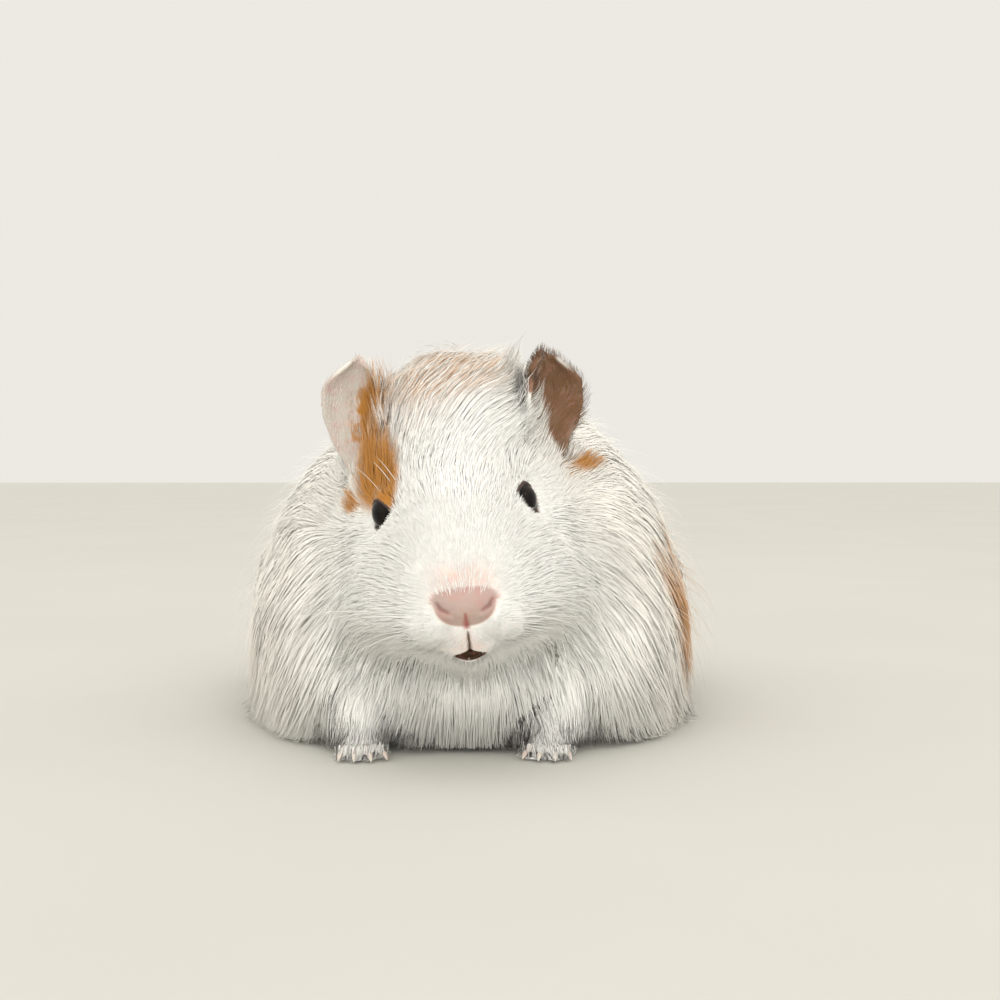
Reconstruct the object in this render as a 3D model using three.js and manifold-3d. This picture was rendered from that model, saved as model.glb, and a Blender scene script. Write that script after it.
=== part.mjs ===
// A long-haired guinea pig at life size, crouching with its head forward and tilted a little to its right.
//
// Millimetres, +Z up. The animal faces -Y and X points to its left. While the parts are shaped, Y is the
// distance behind the tip of the nose and the floor is at Z = 0; the finished group is moved so that its
// origin is the middle of the footprint. Every solid of flesh reaches out to the tips of the coat.
import * as THREE from "three";
import Module from "manifold-3d";
import { mergeVertices } from "three/addons/utils/BufferGeometryUtils.js";

const wasm = await Module();
wasm.setup();

// ---- driving dimensions ----
const KERF = 0.3; // gap between two parts that meet
const FAR = 400; // larger than the whole animal, for cutting blocks
const SIDES = { left: 1, right: -1 }; // the animal's own sides, as the sign of X

// The coat across the torso: half width, top of the back, hem under the belly, and height of the widest line.
const TORSO = [
  { y: 34, half: 42, top: 74, hem: 4.5, wide: 30 },
  { y: 58, half: 55, top: 95, hem: 4, wide: 30 },
  { y: 84, half: 66, top: 107.5, hem: 3.5, wide: 29 },
  { y: 118, half: 72.5, top: 112, hem: 3.5, wide: 28 },
  { y: 155, half: 75, top: 112.5, hem: 3.5, wide: 28 },
  { y: 190, half: 72, top: 106, hem: 3.5, wide: 29 },
  { y: 214, half: 63, top: 95, hem: 4, wide: 30 },
  { y: 238, half: 52, top: 81, hem: 5, wide: 32 },
];
const TORSO_ENDS = { start: 33, end: 240, frontRound: 26, backRound: 48, frontHeight: 22, backHeight: 34 };
const TORSO_SPLITS = { neck: 70, shoulders: 108, belly: 164 }; // planes that part neck, shoulders and rump

// The coat round the head: half width at the cheeks and at the brow, crown, widest height, and chin.
const HEAD = [
  { y: 0, cheek: 13, brow: 10, crown: 55.5, mid: 42, chin: 31.6 },
  { y: 7, cheek: 18.5, brow: 13, crown: 63.5, mid: 42, chin: 30 },
  { y: 17, cheek: 25, brow: 15, crown: 74, mid: 42, chin: 28.4 },
  { y: 27, cheek: 29.5, brow: 16, crown: 82.5, mid: 43, chin: 27 },
  { y: 38, cheek: 33, brow: 18, crown: 91, mid: 43.5, chin: 25.5 },
  { y: 50, cheek: 35.5, brow: 26, crown: 102.5, mid: 45, chin: 24.5 },
  { y: 63, cheek: 36.5, brow: 32, crown: 112, mid: 48, chin: 25 },
  { y: 78, cheek: 37, brow: 34, crown: 114.5, mid: 53, chin: 32 },
  { y: 94, cheek: 35, brow: 31, crown: 109, mid: 56, chin: 38 },
];
const HEAD_ENDS = { start: 1.5, end: 94, frontRound: 7, backRound: 20, frontHeight: 42, backHeight: 70 };
const JAW_TAPER = { front: 1.8, back: 0.92, from: 14, to: 60 }; // how the section narrows to the chin
const HEAD_ROLL = THREE.MathUtils.degToRad(-5); // the crown leans to the animal's right
const HEAD_SHIFT = -2;
const HEAD_PIVOT = 50; // height of the axis that the head is tilted about
const MUZZLE_BACK = 15; // plane between muzzle and head
const MOUTH_LINE = 32.3; // height of the lips
const JAW_BACK = 27; // plane between lower jaw and throat

const NOSE = { y: 4.6, z: 45.2, half: 8.2, depth: 5.6, height: 4.9, taper: 0.2, square: 2.6 };
const WHISKER_PAD = { x: 9.3, y: 9.5, z: 41, half: 9, long: 8.5, high: 6.6 };
const NOSTRIL = { inner: 4.3, outer: 7, low: -1.2, high: 1.2, radius: 0.75 };
const EYE = { x: 17, shift: -0.9, y: 36.6, z: 70.2, radius: 5.8 };

// Half widths of an ear on its inner and outer side, at levels from the root (0) to the tip (1).
const EAR_LEVELS = [0, 0.28, 0.45, 0.65, 0.8, 0.92, 1];
const EAR_INNER = [7, 9, 9.2, 8.6, 7.6, 5.6, 1.3];
const EAR = { x: 26.5, y: 56, z: 70, cup: 5.5, widest: 13.4, curl: 4, rim: 0.9, belly: 1.3, tiltBack: 8 };
// Each ear: its height, degrees out from upright, degrees that its opening turns outwards, and outer side.
const EARS = {
  left: { height: 43.6, lean: 2, turn: 45, in: 2, outer: [2.3, 7.2, 11.2, 13.4, 12.3, 7.4, 3.4] },
  right: { height: 46.4, lean: -3, turn: 26, in: 0, outer: [1.4, 5.6, 9, 11.7, 10.2, 5.6, 1] },
};

const FORELEG = {
  path: [[32, 67, 36], [30, 58, 24], [27.5, 49, 13], [26, 44, 6]],
  radii: [16, 14, 10.5, 7.8],
};
const FOREFOOT = {
  x: 26.5, y: 40, shift: -4.5, toeIn: -5, palm: { half: 6, long: 7.2, high: 6 },
  toes: [-4.8, -1.7, 1.6, 4.6], reach: [8.8, 11, 11.2, 9.2], toeRadius: 2, claw: 3.4,
};
const HINDFOOT = {
  x: 56, y: 138, shift: 0, toeIn: -10, palm: { half: 6.8, long: 20, high: 8 },
  toes: [-4.4, 0, 4.4], reach: [23.5, 26.5, 24], toeRadius: 2.4, claw: 4.4,
};
const THIGH = { x: 48, y: 164, z: 38, half: 31, long: 42, high: 35, inner: 40 };
const TORSO_ROUND = 26; // segments round the torso
const HEAD_ROUND = 24; // segments round the head

// ---- materials ----
const material = (color, roughness) => new THREE.MeshStandardMaterial({ color, roughness, metalness: 0 });
const cream = material(0xefe8dc, 0.85);
const ginger = material(0xb9793f, 0.85);
const brown = material(0x7a5238, 0.8);
const pink = material(0xd3a198, 0.55);
const black = material(0x0c0a0a, 0.08);
const horn = material(0xcdb9a4, 0.45);

// ---- making and cutting solids ----
const { cos, sin, sqrt, abs, sign, PI } = Math;
const lerp = THREE.MathUtils.lerp;
const smooth = THREE.MathUtils.smoothstep;

// Values of a table of stations at any place between them, through a smooth curve.
function between(stations) {
  const names = Object.keys(stations[0]);
  const places = stations.map((station) => station[names[0]]);
  const values = stations.flatMap((station) => names.map((name) => station[name]));
  const curve = new THREE.CubicInterpolant(places, values, names.length);
  return (place) => {
    const found = curve.evaluate(place);
    return Object.fromEntries(names.map((name, i) => [name, found[i]]));
  };
}

// A closed geometry through rings of points of equal count, closed by a point at each end.
function loft(rings, first, last) {
  const count = rings[0].length;
  const points = [...rings.flat(), first, last];
  const [head, tail] = [points.length - 2, points.length - 1];
  const faces = [];
  for (let i = 0; i < count; i++) {
    const next = (i + 1) % count;
    faces.push(head, next, i);
    for (let r = 0; r < rings.length - 1; r++) {
      const [a, b] = [r * count, (r + 1) * count];
      faces.push(a + i, a + next, b + next, a + i, b + next, b + i);
    }
    const end = (rings.length - 1) * count;
    faces.push(tail, end + i, end + next);
  }
  return new THREE.BufferGeometry().setFromPoints(points).setIndex(faces);
}

// A geometry as a solid, turned the right way out.
function solid(geometry, pose) {
  const bare = new THREE.BufferGeometry();
  bare.setAttribute("position", geometry.getAttribute("position").clone());
  if (geometry.index) bare.setIndex(geometry.index.clone());
  if (pose) bare.applyMatrix4(pose);
  const merged = mergeVertices(bare, 1e-3);
  const vertProperties = new Float32Array(merged.attributes.position.array);
  const mesh = (triVerts) => new wasm.Manifold(new wasm.Mesh({ numProp: 3, vertProperties, triVerts }));
  const faces = new Uint32Array(merged.index.array);
  const made = mesh(faces);
  return made.volume() >= 0 ? made : mesh(faces.map((v, i) => faces[i - (i % 3) + 2 - (i % 3)]));
}

// Everything on the side of a point that a direction names.
function halfSpace(x, y, z, direction) {
  const block = new THREE.BoxGeometry(FAR, FAR, FAR).translate(0, 0, FAR / 2);
  const turn = new THREE.Quaternion().setFromUnitVectors(new THREE.Vector3(0, 0, 1), direction.normalize());
  return solid(block.applyQuaternion(turn).translate(x, y, z));
}

// A solid parted by the plane at a distance behind the nose, with the cut's width between the two.
function partAt(whole, y) {
  const front = halfSpace(0, y - KERF / 2, 0, new THREE.Vector3(0, -1, 0));
  const back = halfSpace(0, y + KERF / 2, 0, new THREE.Vector3(0, 1, 0));
  return [whole.intersect(front), whole.intersect(back)];
}

const aboveFloor = halfSpace(0, 0, 0, new THREE.Vector3(0, 0, 1));

function ellipsoid(x, y, z, half, long, high, across, down) {
  return new THREE.SphereGeometry(1, across, down).rotateX(PI / 2).scale(half, long, high).translate(x, y, z);
}

// A round limb along a smooth path, with a radius at each of its points and rounded ends.
function limb(path, radii, around, rings, swell = 0) {
  const curve = new THREE.CatmullRomCurve3(path.map((p) => new THREE.Vector3(...p)));
  const radiusAt = between(radii.map((r, i) => ({ t: i / (radii.length - 1), r })));
  const frames = curve.computeFrenetFrames(rings, false);
  const ringAt = (i) => {
    const t = i / rings;
    const edge = Math.min(t, 1 - t) * rings;
    const radius = (radiusAt(t).r + swell) * (edge < 1.5 ? sqrt(1 - (1 - (edge + 0.4) / 1.9) ** 2) : 1);
    return Array.from({ length: around }, (_, j) => {
      const a = (2 * PI * j) / around;
      return curve.getPoint(t).addScaledVector(frames.normals[i], radius * cos(a))
        .addScaledVector(frames.binormals[i], radius * sin(a));
    });
  };
  const tip = (t, i, way) => {
    const proud = radiusAt(t).r * 0.25 + swell;
    return curve.getPoint(t).addScaledVector(frames.tangents[i], way * proud);
  };
  return loft(Array.from({ length: rings + 1 }, (_, i) => ringAt(i)), tip(0, 0, -1), tip(1, rings, 1));
}

// Places along a form with rounded ends: each has its distance y and how far the section is drawn in.
function roundedPlaces({ start, end, frontRound, backRound }, rings, endRings) {
  const places = [];
  for (let i = 1; i <= endRings; i++) {
    const a = (i / (endRings + 1)) * (PI / 2);
    places.push({ y: start + frontRound * (1 - cos(a)), dome: sin(a) });
  }
  for (let i = 0; i <= rings; i++) {
    places.push({ y: lerp(start + frontRound, end - backRound, i / rings), dome: 1 });
  }
  for (let i = endRings; i >= 1; i--) {
    const a = (i / (endRings + 1)) * (PI / 2);
    places.push({ y: end - backRound * (1 - cos(a)), dome: sin(a) });
  }
  return places;
}

// A form with rounded ends whose section at a place is given by a function of the place and an angle.
function roundedForm(ends, rings, endRings, around, section, swell) {
  const { start, end, frontRound, frontHeight, backHeight } = ends;
  const grown = { ...ends, start: start - swell, end: end + swell };
  const sections = roundedPlaces(grown, rings, endRings).map(({ y, dome }) => {
    const centre = y < start + frontRound ? frontHeight : backHeight;
    return Array.from({ length: around }, (_, i) => {
      const [x, z] = section(y, (2 * PI * i) / around, swell);
      return new THREE.Vector3(x * dome, y, centre + (z - centre) * dome);
    });
  });
  const tips = [new THREE.Vector3(0, grown.start, frontHeight), new THREE.Vector3(0, grown.end, backHeight)];
  return loft(sections, ...tips);
}

// ---- torso ----
const torsoAt = between(TORSO);

// Round above the widest line, and fuller below it, where the coat hangs down to the floor.
function torsoSection(y, angle, swell) {
  const { half, top, hem, wide } = torsoAt(y);
  const [c, s] = [cos(angle), sin(angle)];
  if (s >= 0) return [(half + swell) * sign(c) * abs(c) ** 1.06, wide + (top + swell - wide) * s ** 1.04];
  const fullness = 0.46;
  return [(half + swell) * sign(c) * abs(c) ** fullness, wide - (wide - hem + swell) * abs(s) ** fullness];
}
const torso = (swell = 0) => solid(roundedForm(TORSO_ENDS, 9, 3, TORSO_ROUND, torsoSection, swell));

// ---- head ----
const headAt = between(HEAD);
const headPose = new THREE.Matrix4().makeTranslation(HEAD_SHIFT, 0, HEAD_PIVOT)
  .multiply(new THREE.Matrix4().makeRotationY(HEAD_ROLL))
  .multiply(new THREE.Matrix4().makeTranslation(0, 0, -HEAD_PIVOT));

// Full at the cheeks, drawn in towards the brow like a pear, and towards the chin in front.
function headSection(y, angle, swell) {
  const { cheek, brow, crown, mid, chin } = headAt(y);
  const [c, s] = [cos(angle), sin(angle)];
  if (s >= 0) {
    const half = lerp(cheek, brow, s) + swell;
    return [half * sign(c) * abs(c) ** 0.8, mid + (crown + swell - mid) * s ** 0.8];
  }
  const taper = lerp(JAW_TAPER.front, JAW_TAPER.back, smooth(y, JAW_TAPER.from, JAW_TAPER.to));
  return [(cheek + swell) * sign(c) * abs(c) ** taper, mid - (mid - chin + swell) * abs(s) ** taper];
}
// The round swelling beside the nose that carries the whiskers.
function whiskerPad(side, swell) {
  const { x, y, z, half, long, high } = WHISKER_PAD;
  return ellipsoid(side * x, y, z, half + swell, long + swell, high + swell, 8, 6);
}
const skull = (swell = 0) =>
  Object.values(SIDES).reduce(
    (whole, side) => whole.add(solid(whiskerPad(side, swell), headPose)),
    solid(roundedForm(HEAD_ENDS, 10, 3, HEAD_ROUND, headSection, swell), headPose),
  );

function eyeball(side, swell = 0) {
  const ball = new THREE.SphereGeometry(EYE.radius + swell, 12, 8);
  return solid(ball.translate(side * EYE.x + EYE.shift, EYE.y, EYE.z), headPose);
}

// The bare nose pad: a rounded square, broad above and narrower below, with a furrow down its lower half.
function nosePad(swell = 0) {
  const pad = ellipsoid(0, 0, 0, 1, 1, 1, 14, 9);
  const place = pad.getAttribute("position");
  for (let i = 0; i < place.count; i++) {
    const y = place.getY(i);
    const angle = Math.atan2(place.getZ(i), place.getX(i));
    const square = (abs(cos(angle)) ** NOSE.square + abs(sin(angle)) ** NOSE.square) ** (-1 / NOSE.square);
    const [x, z] = [place.getX(i) * square, place.getZ(i) * square];
    const width = (NOSE.half + swell) * (1 + NOSE.taper * z);
    const furrow = 1.3 * Math.exp(-((x * NOSE.half) ** 2) / 1.6) * smooth(-z, 0, 0.6) * smooth(-y, 0, 0.4);
    place.setXYZ(i, x * width, y * (NOSE.depth + swell) + furrow, z * (NOSE.height + swell));
  }
  return solid(pad.translate(0, NOSE.y, NOSE.z), headPose);
}

// A comma-shaped nostril, from low beside the middle to high at the side.
function nostril(side) {
  const { inner, outer, low, high, radius } = NOSTRIL;
  const front = NOSE.y - NOSE.depth + 0.6;
  const path = [
    [side * inner, front, NOSE.z + low],
    [side * lerp(inner, outer, 0.6), front + 0.6, NOSE.z + low * 0.7],
    [side * outer, front + 2, NOSE.z + high],
  ];
  return solid(limb(path, [radius * 0.7, radius, radius * 0.8], 5, 3), headPose);
}

// The cleft of the upper lip, and the shallow opening between the lips.
const cleft = solid(ellipsoid(0, 0.6, 37, 0.5, 4.2, 5.4, 6, 4), headPose);
const mouth = solid(ellipsoid(0, 3.2, MOUTH_LINE, 4.6, 4.4, 0.9, 10, 4), headPose);

// ---- ears ----
// A cupped petal: rings of an inner and an outer face from the root to the tip, opening towards -Y.
function earShell({ height, outer: outerSide }, swell = 0) {
  const [rows, columns] = [8, 6];
  const earAt = between(EAR_LEVELS.map((h, i) => ({ h, outer: outerSide[i], inner: EAR_INNER[i] })));
  const face = (row, column, back) => {
    const h = row / rows;
    const u = (column / columns) * 2 - 1;
    const { outer, inner } = earAt(h);
    const wide = u > 0 ? outer : inner;
    const cup = EAR.cup * u * u * smooth(h, 0, 0.3) * (wide / EAR.widest);
    const fold = EAR.curl * h ** 3;
    const thick = back ? EAR.rim + EAR.belly * (1 - u * u) + swell : -swell;
    return new THREE.Vector3(u * (wide + swell), thick - cup - fold, h * height);
  };
  const rings = Array.from({ length: rows + 1 }, (_, row) => [
    ...Array.from({ length: columns + 1 }, (_, i) => face(row, i, false)),
    ...Array.from({ length: columns + 1 }, (_, i) => face(row, columns - i, true)),
  ]);
  const middle = (ring) => ring.reduce((sum, p) => sum.add(p), new THREE.Vector3()).divideScalar(ring.length);
  return loft(rings, middle(rings[0]), middle(rings[rows]).add(new THREE.Vector3(0, 0, 0.9)));
}

function ear(name, swell = 0) {
  const side = SIDES[name];
  const { lean, turn, in: inwards } = EARS[name];
  const toRadians = THREE.MathUtils.degToRad;
  const pose = new THREE.Matrix4().makeTranslation(side * (EAR.x - inwards), EAR.y, EAR.z)
    .multiply(new THREE.Matrix4().makeRotationY(side * toRadians(lean)))
    .multiply(new THREE.Matrix4().makeRotationX(toRadians(-EAR.tiltBack)))
    .multiply(new THREE.Matrix4().makeRotationZ(side * toRadians(turn)))
    .multiply(new THREE.Matrix4().makeScale(side, 1, 1));
  return solid(earShell(EARS[name], swell), headPose.clone().multiply(pose));
}

// ---- legs, feet and claws ----
// A foreleg, drawn aside towards its foot as the feet stand a little to the animal's right.
function foreleg(side, swell = 0) {
  const last = FORELEG.path.length - 1;
  const path = FORELEG.path.map(([x, y, z], i) => [side * x + (FOREFOOT.shift * i) / last, y, z]);
  return solid(limb(path, FORELEG.radii, 10, 5, swell)).intersect(aboveFloor);
}
function thigh(side, swell = 0) {
  const { x, y, z, half, long, high } = THIGH;
  return solid(ellipsoid(side * x, y, z, half + swell, long + swell, high + swell, 14, 8));
}

const footPose = (foot, side) => new THREE.Matrix4().makeTranslation(side * foot.x + foot.shift, foot.y, 0)
  .multiply(new THREE.Matrix4().makeRotationZ(side * THREE.MathUtils.degToRad(foot.toeIn)));

// Where each toe ends, in the foot's own frame, with the toes fanned out a little.
const toeTips = ({ toes, reach, toeRadius }, side) =>
  toes.map((x, i) => [side * x * 1.25, -reach[i], toeRadius * 0.8]);

// A sole with arched toes, flat where it meets the floor.
function foot(shape, side, swell = 0) {
  const { palm, toes, toeRadius } = shape;
  const pose = footPose(shape, side);
  const grown = [palm.half + swell, palm.long + swell, palm.high + swell];
  const sole = solid(ellipsoid(0, 0, palm.high * 0.36, ...grown, 10, 6), pose);
  const whole = toeTips(shape, side).reduce((made, tip, i) => {
    const root = [side * toes[i] * 0.8, -palm.long * 0.55, palm.high * 0.45];
    const knuckle = [side * toes[i] * 1.08, lerp(root[1], tip[1], 0.55), toeRadius * 1.55];
    const radii = [toeRadius, toeRadius * 1.05, toeRadius * 0.85];
    return made.add(solid(limb([root, knuckle, tip], radii, 5, 2, swell), pose));
  }, sole);
  return whole.intersect(swell ? aboveFloor.translate(0, 0, -swell) : aboveFloor);
}

// The hollow that the coat leaves round a foot and its claws.
function footRoom(shape, side) {
  const { palm, toes, reach, toeRadius } = shape;
  const front = Math.max(...reach) + shape.claw;
  const half = Math.max(...toes) * 1.25 + toeRadius + 3;
  const long = (front + palm.long) / 2 + 5;
  const room = ellipsoid(0, (palm.long - front) / 2, 0, half, long, palm.high * 1.36 + 3, 10, 6);
  return solid(room, footPose(shape, side));
}

function claw(shape, side, i) {
  const tip = toeTips(shape, side)[i];
  const spread = side * shape.toes[i] * 0.06;
  const path = [
    [tip[0], tip[1] + 1.2, tip[2] + 0.5],
    [tip[0] + spread, tip[1] - shape.claw * 0.45, tip[2] + 0.35],
    [tip[0] + spread * 3, tip[1] - shape.claw, 0.75],
  ];
  return solid(limb(path, [1.1, 0.85, 0.35], 4, 2), footPose(shape, side));
}

// ---- the whole animal, parted ----
const group = new THREE.Group();

function addNode(name, body, finish) {
  const made = body.getMesh();
  const geometry = new THREE.BufferGeometry();
  geometry.setAttribute("position", new THREE.BufferAttribute(made.vertProperties, 3));
  geometry.setIndex(new THREE.BufferAttribute(made.triVerts, 1));
  const mesh = new THREE.Mesh(geometry, finish);
  mesh.name = name;
  group.add(mesh);
}

function addHead() {
  let whole = skull().subtract(nosePad(KERF)).subtract(cleft).subtract(mouth);
  for (const side of Object.values(SIDES)) whole = whole.subtract(eyeball(side, KERF));
  const [muzzleAndJaw, head] = partAt(whole, MUZZLE_BACK);
  const [jawFront, throat] = partAt(whole, JAW_BACK);
  const up = new THREE.Vector3(sin(HEAD_ROLL), 0, cos(HEAD_ROLL));
  const belowLips = halfSpace(HEAD_SHIFT, 0, MOUTH_LINE - KERF / 2, up.clone().negate());
  const aboveLips = halfSpace(HEAD_SHIFT, 0, MOUTH_LINE + KERF / 2, up.clone());
  addNode("muzzle", muzzleAndJaw.intersect(aboveLips), cream);
  addNode("lower_jaw", jawFront.intersect(belowLips), cream);
  addNode("head", throat.add(head.intersect(aboveLips)), cream);
  addNode("nose", nosePad().subtract(nostril(SIDES.left)).subtract(nostril(SIDES.right)), pink);
  const clearance = skull(KERF);
  for (const [name, side] of Object.entries(SIDES)) {
    addNode(`eye_${name}`, eyeball(side), black);
    const colour = name === "left" ? brown : pink;
    addNode(`ear_${name}`, ear(name).subtract(clearance).subtract(torso(KERF)), colour);
  }
}

function addTorso() {
  let whole = torso().subtract(skull(KERF));
  for (const side of Object.values(SIDES)) {
    const outerHalf = halfSpace(side * (THIGH.inner - KERF), 0, 0, new THREE.Vector3(side, 0, 0));
    whole = whole.subtract(foreleg(side, KERF)).subtract(thigh(side, KERF).intersect(outerHalf));
    whole = whole.subtract(footRoom(FOREFOOT, side)).subtract(footRoom(HINDFOOT, side));
  }
  const [neck, behindNeck] = partAt(whole, TORSO_SPLITS.neck);
  const [shoulders, behindShoulders] = partAt(behindNeck, TORSO_SPLITS.shoulders);
  const [belly, rump] = partAt(behindShoulders, TORSO_SPLITS.belly);
  addNode("neck", neck, cream);
  addNode("shoulders", shoulders, cream);
  addNode("trunk", belly, ginger);
  addNode("rump", rump, cream);
}

function addLegs(name) {
  const side = SIDES[name];
  const headRoom = skull(KERF);
  const outerHalf = halfSpace(side * THIGH.inner, 0, 0, new THREE.Vector3(side, 0, 0));
  addNode(`foreleg_${name}`, foreleg(side).subtract(foot(FOREFOOT, side, KERF)).subtract(headRoom), cream);
  addNode(`thigh_${name}`, thigh(side).intersect(outerHalf).subtract(foot(HINDFOOT, side, KERF)), cream);
  for (const [kind, shape] of Object.entries({ forefoot: FOREFOOT, hindfoot: HINDFOOT })) {
    addNode(`${kind}_${name}`, foot(shape, side), pink);
    shape.toes.forEach((_, i) => {
      addNode(`${kind}_${name}_claw_${i + 1}`, claw(shape, side, i).subtract(foot(shape, side, KERF)), horn);
    });
  }
}

addHead();
addTorso();
Object.keys(SIDES).forEach(addLegs);

// The origin is the middle of the footprint, on the floor.
const box = new THREE.Box3().setFromObject(group);
group.position.set(-(box.min.x + box.max.x) / 2, -(box.min.y + box.max.y) / 2, -box.min.z);

export default group;
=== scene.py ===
"""A guinea pig as a still, life-size museum model: skin, eyes, claws, coat, whiskers and a plain stage.

Points are held in arrays of millimetres in the row frame, and become metres when a mesh is made.
The head is described in its own upright frame, and head_place() tilts it as the solids are tilted.
"""

import math

import bpy
import numpy as np
from mathutils import Euler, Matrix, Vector
from mathutils.bvhtree import BVHTree
from mathutils.kdtree import KDTree


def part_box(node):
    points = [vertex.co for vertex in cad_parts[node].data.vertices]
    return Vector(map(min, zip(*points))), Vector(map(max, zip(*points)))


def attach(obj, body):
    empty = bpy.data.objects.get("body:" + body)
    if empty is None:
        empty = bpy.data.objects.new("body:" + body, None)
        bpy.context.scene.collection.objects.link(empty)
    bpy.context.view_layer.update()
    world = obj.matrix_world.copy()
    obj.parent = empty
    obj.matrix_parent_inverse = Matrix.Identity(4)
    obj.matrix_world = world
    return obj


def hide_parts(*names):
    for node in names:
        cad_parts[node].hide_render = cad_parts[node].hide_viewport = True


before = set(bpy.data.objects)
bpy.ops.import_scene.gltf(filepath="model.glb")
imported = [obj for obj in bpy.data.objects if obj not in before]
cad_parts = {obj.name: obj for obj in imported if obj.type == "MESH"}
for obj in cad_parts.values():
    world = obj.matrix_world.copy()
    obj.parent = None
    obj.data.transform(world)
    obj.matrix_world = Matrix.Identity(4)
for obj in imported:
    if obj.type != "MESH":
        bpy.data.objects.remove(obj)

bl_info = {
    "name": "Guinea Pig",
    "version": (1, 0, 0),
    "blender": (4, 5, 0),
    "location": "View3D > Sidebar > Guinea Pig",
    "description": "Dresses the guinea pig's solids with skin, eyes, claws and a long soft coat",
    "category": "Object",
}

MM = 0.001
SIDES = {"left": 1, "right": -1}

# ---- places taken from the frame ----

NOSE_PROUD = 0.78
HEAD_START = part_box("nose")[0].y / MM + NOSE_PROUD
HEAD_TILT = math.radians(-5)
HEAD_PIVOT = 50.0
HEAD_SHIFT = -2.0


def head_place(points):
    """Points of the head's own frame, in millimetres, as they lie in the row frame."""
    x, y, z = np.asarray(points, float).T
    c, s = math.cos(HEAD_TILT), math.sin(-HEAD_TILT)
    up = z - HEAD_PIVOT
    return np.stack([c * x - s * up + HEAD_SHIFT, y + HEAD_START, HEAD_PIVOT + s * x + c * up], 1)


def head_view(points):
    """Points of the row frame, in the head's own frame."""
    x, y, z = np.asarray(points, float).T
    c, s = math.cos(HEAD_TILT), math.sin(-HEAD_TILT)
    across, up = x - HEAD_SHIFT, z - HEAD_PIVOT
    return np.stack([c * across + s * up, y - HEAD_START, HEAD_PIVOT + c * up - s * across], 1)


def head_turn(directions):
    """Directions of the head's own frame, as they point in the row frame."""
    return head_place(directions) - head_place(np.zeros((1, 3)))


# ---- the head's forms, in its own frame ----

NOSE = {"z": 45.2, "half": 8.2, "high": 4.9, "square": 2.6}
EYE = {"x": 17.0, "shift": -0.9, "y": 36.6, "z": 70.2, "radius": 5.8}
# The mouth is a small lens whose upper edge peaks into the slit of the lip.
MOUTH = {"x": 0.3, "half": 4.7, "low": 30.8, "top": 34.0, "corner": 32.1}
# How far each eye's lids open, across and up, and how far up the opening's middle lies, against the ball:
# the animal's right eye is more closed. The rise turns an eye's opening up or down.
OPENING = {1: (0.88, 0.84, 0.10), -1: (0.8, 0.66, 0.08)}
EYE_RISE = {1: 0.0, -1: -0.05}
EYE_LEAN = math.radians(4)
# How far from the ball's centre the lids' skin can be.
LID_REACH = 7.2
# The lines inside head and body that the skin is drawn towards, by the depth of the coat.
HEAD_AXIS = ((0, 16, 41), (0, 72, 66))
BODY_AXIS = ((0, -46, 52), (0, 74, 52))

# Half widths of an ear on its inner and outer side, at levels from its root (0) to its tip (1).
EAR_LEVELS = (0, 0.28, 0.45, 0.65, 0.8, 0.92, 1)
EAR_INNER = (7, 9, 9.2, 8.6, 7.6, 5.6, 1.3)
EAR_CUP, EAR_WIDEST, EAR_CURL, EAR_BACK = 5.5, 13.4, 4.0, math.radians(8)
EAR_ROOT = (26.5, 56, 70)
EARS = {
    "left": {
        "height": 43.6, "lean": 2, "turn": 45, "inwards": 2, "nick": (0.42, 1.7),
        "outer": (2.3, 7.2, 11.2, 13.4, 12.3, 7.4, 3.4),
    },
    "right": {
        "height": 46.4, "lean": -3, "turn": 26, "inwards": 0, "nick": (0.66, 0.7),
        "outer": (1.4, 5.6, 9, 11.7, 10.2, 5.6, 1),
    },
}


def ear_pose(name):
    """The turn and the place of an ear in the head's own frame."""
    side, ear = SIDES[name], EARS[name]
    turn = (
        Euler((0, side * math.radians(ear["lean"]), 0)).to_matrix()
        @ Euler((-EAR_BACK, 0, 0)).to_matrix()
        @ Euler((0, 0, side * math.radians(ear["turn"]))).to_matrix()
    )
    return np.array(turn), np.array([side * (EAR_ROOT[0] - ear["inwards"]), EAR_ROOT[1], EAR_ROOT[2]])


def ear_width(name, u, h):
    """The half width of an ear on the side that u is on, at a level h."""
    outer = np.interp(h, EAR_LEVELS, EARS[name]["outer"])
    return np.where(u > 0, outer, np.interp(h, EAR_LEVELS, EAR_INNER))


def ear_sheet(name, u, h):
    """The middle sheet of an ear in its own frame: u is from inner to outer edge, and h from root to tip."""
    wide = ear_width(name, u, h)
    cup = EAR_CUP * u * u * ease(h, 0, 0.3) * wide / EAR_WIDEST
    return np.stack([u * wide, 0.9 - cup - EAR_CURL * np.clip(h, 0, 2) ** 3, h * EARS[name]["height"]], 1)


def ear_place(name, u, h):
    """Points of an ear's middle sheet in the row frame."""
    turn, root = ear_pose(name)
    sheet = ear_sheet(name, np.atleast_1d(np.asarray(u, float)), np.atleast_1d(np.asarray(h, float)))
    return head_place((sheet * [SIDES[name], 1, 1]) @ turn.T + root)


def ear_view(name, points):
    """How far points are across an ear (-1 to 1) and along it (0 to 1), and how far from its sheet."""
    turn, root = ear_pose(name)
    own = (head_view(points) - root) @ turn * [SIDES[name], 1, 1]
    h = own[:, 2] / EARS[name]["height"]
    u = own[:, 0] / ear_width(name, own[:, 0], h)
    sheet = ear_sheet(name, np.clip(u, -1, 1), np.clip(h, 0, 1))
    return u, h, own[:, 1] - sheet[:, 1]



# ---- small sums on arrays ----


def ease(value, start, end):
    """0 before start, 1 after end, and a smooth rise between."""
    t = np.clip((value - start) / (end - start), 0, 1)
    return t * t * (3 - 2 * t)


def hump(*gaps):
    """1 where every gap is 0, falling smoothly to 0 as they pass 1."""
    return np.exp(-sum(gap**2 for gap in gaps))


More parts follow.
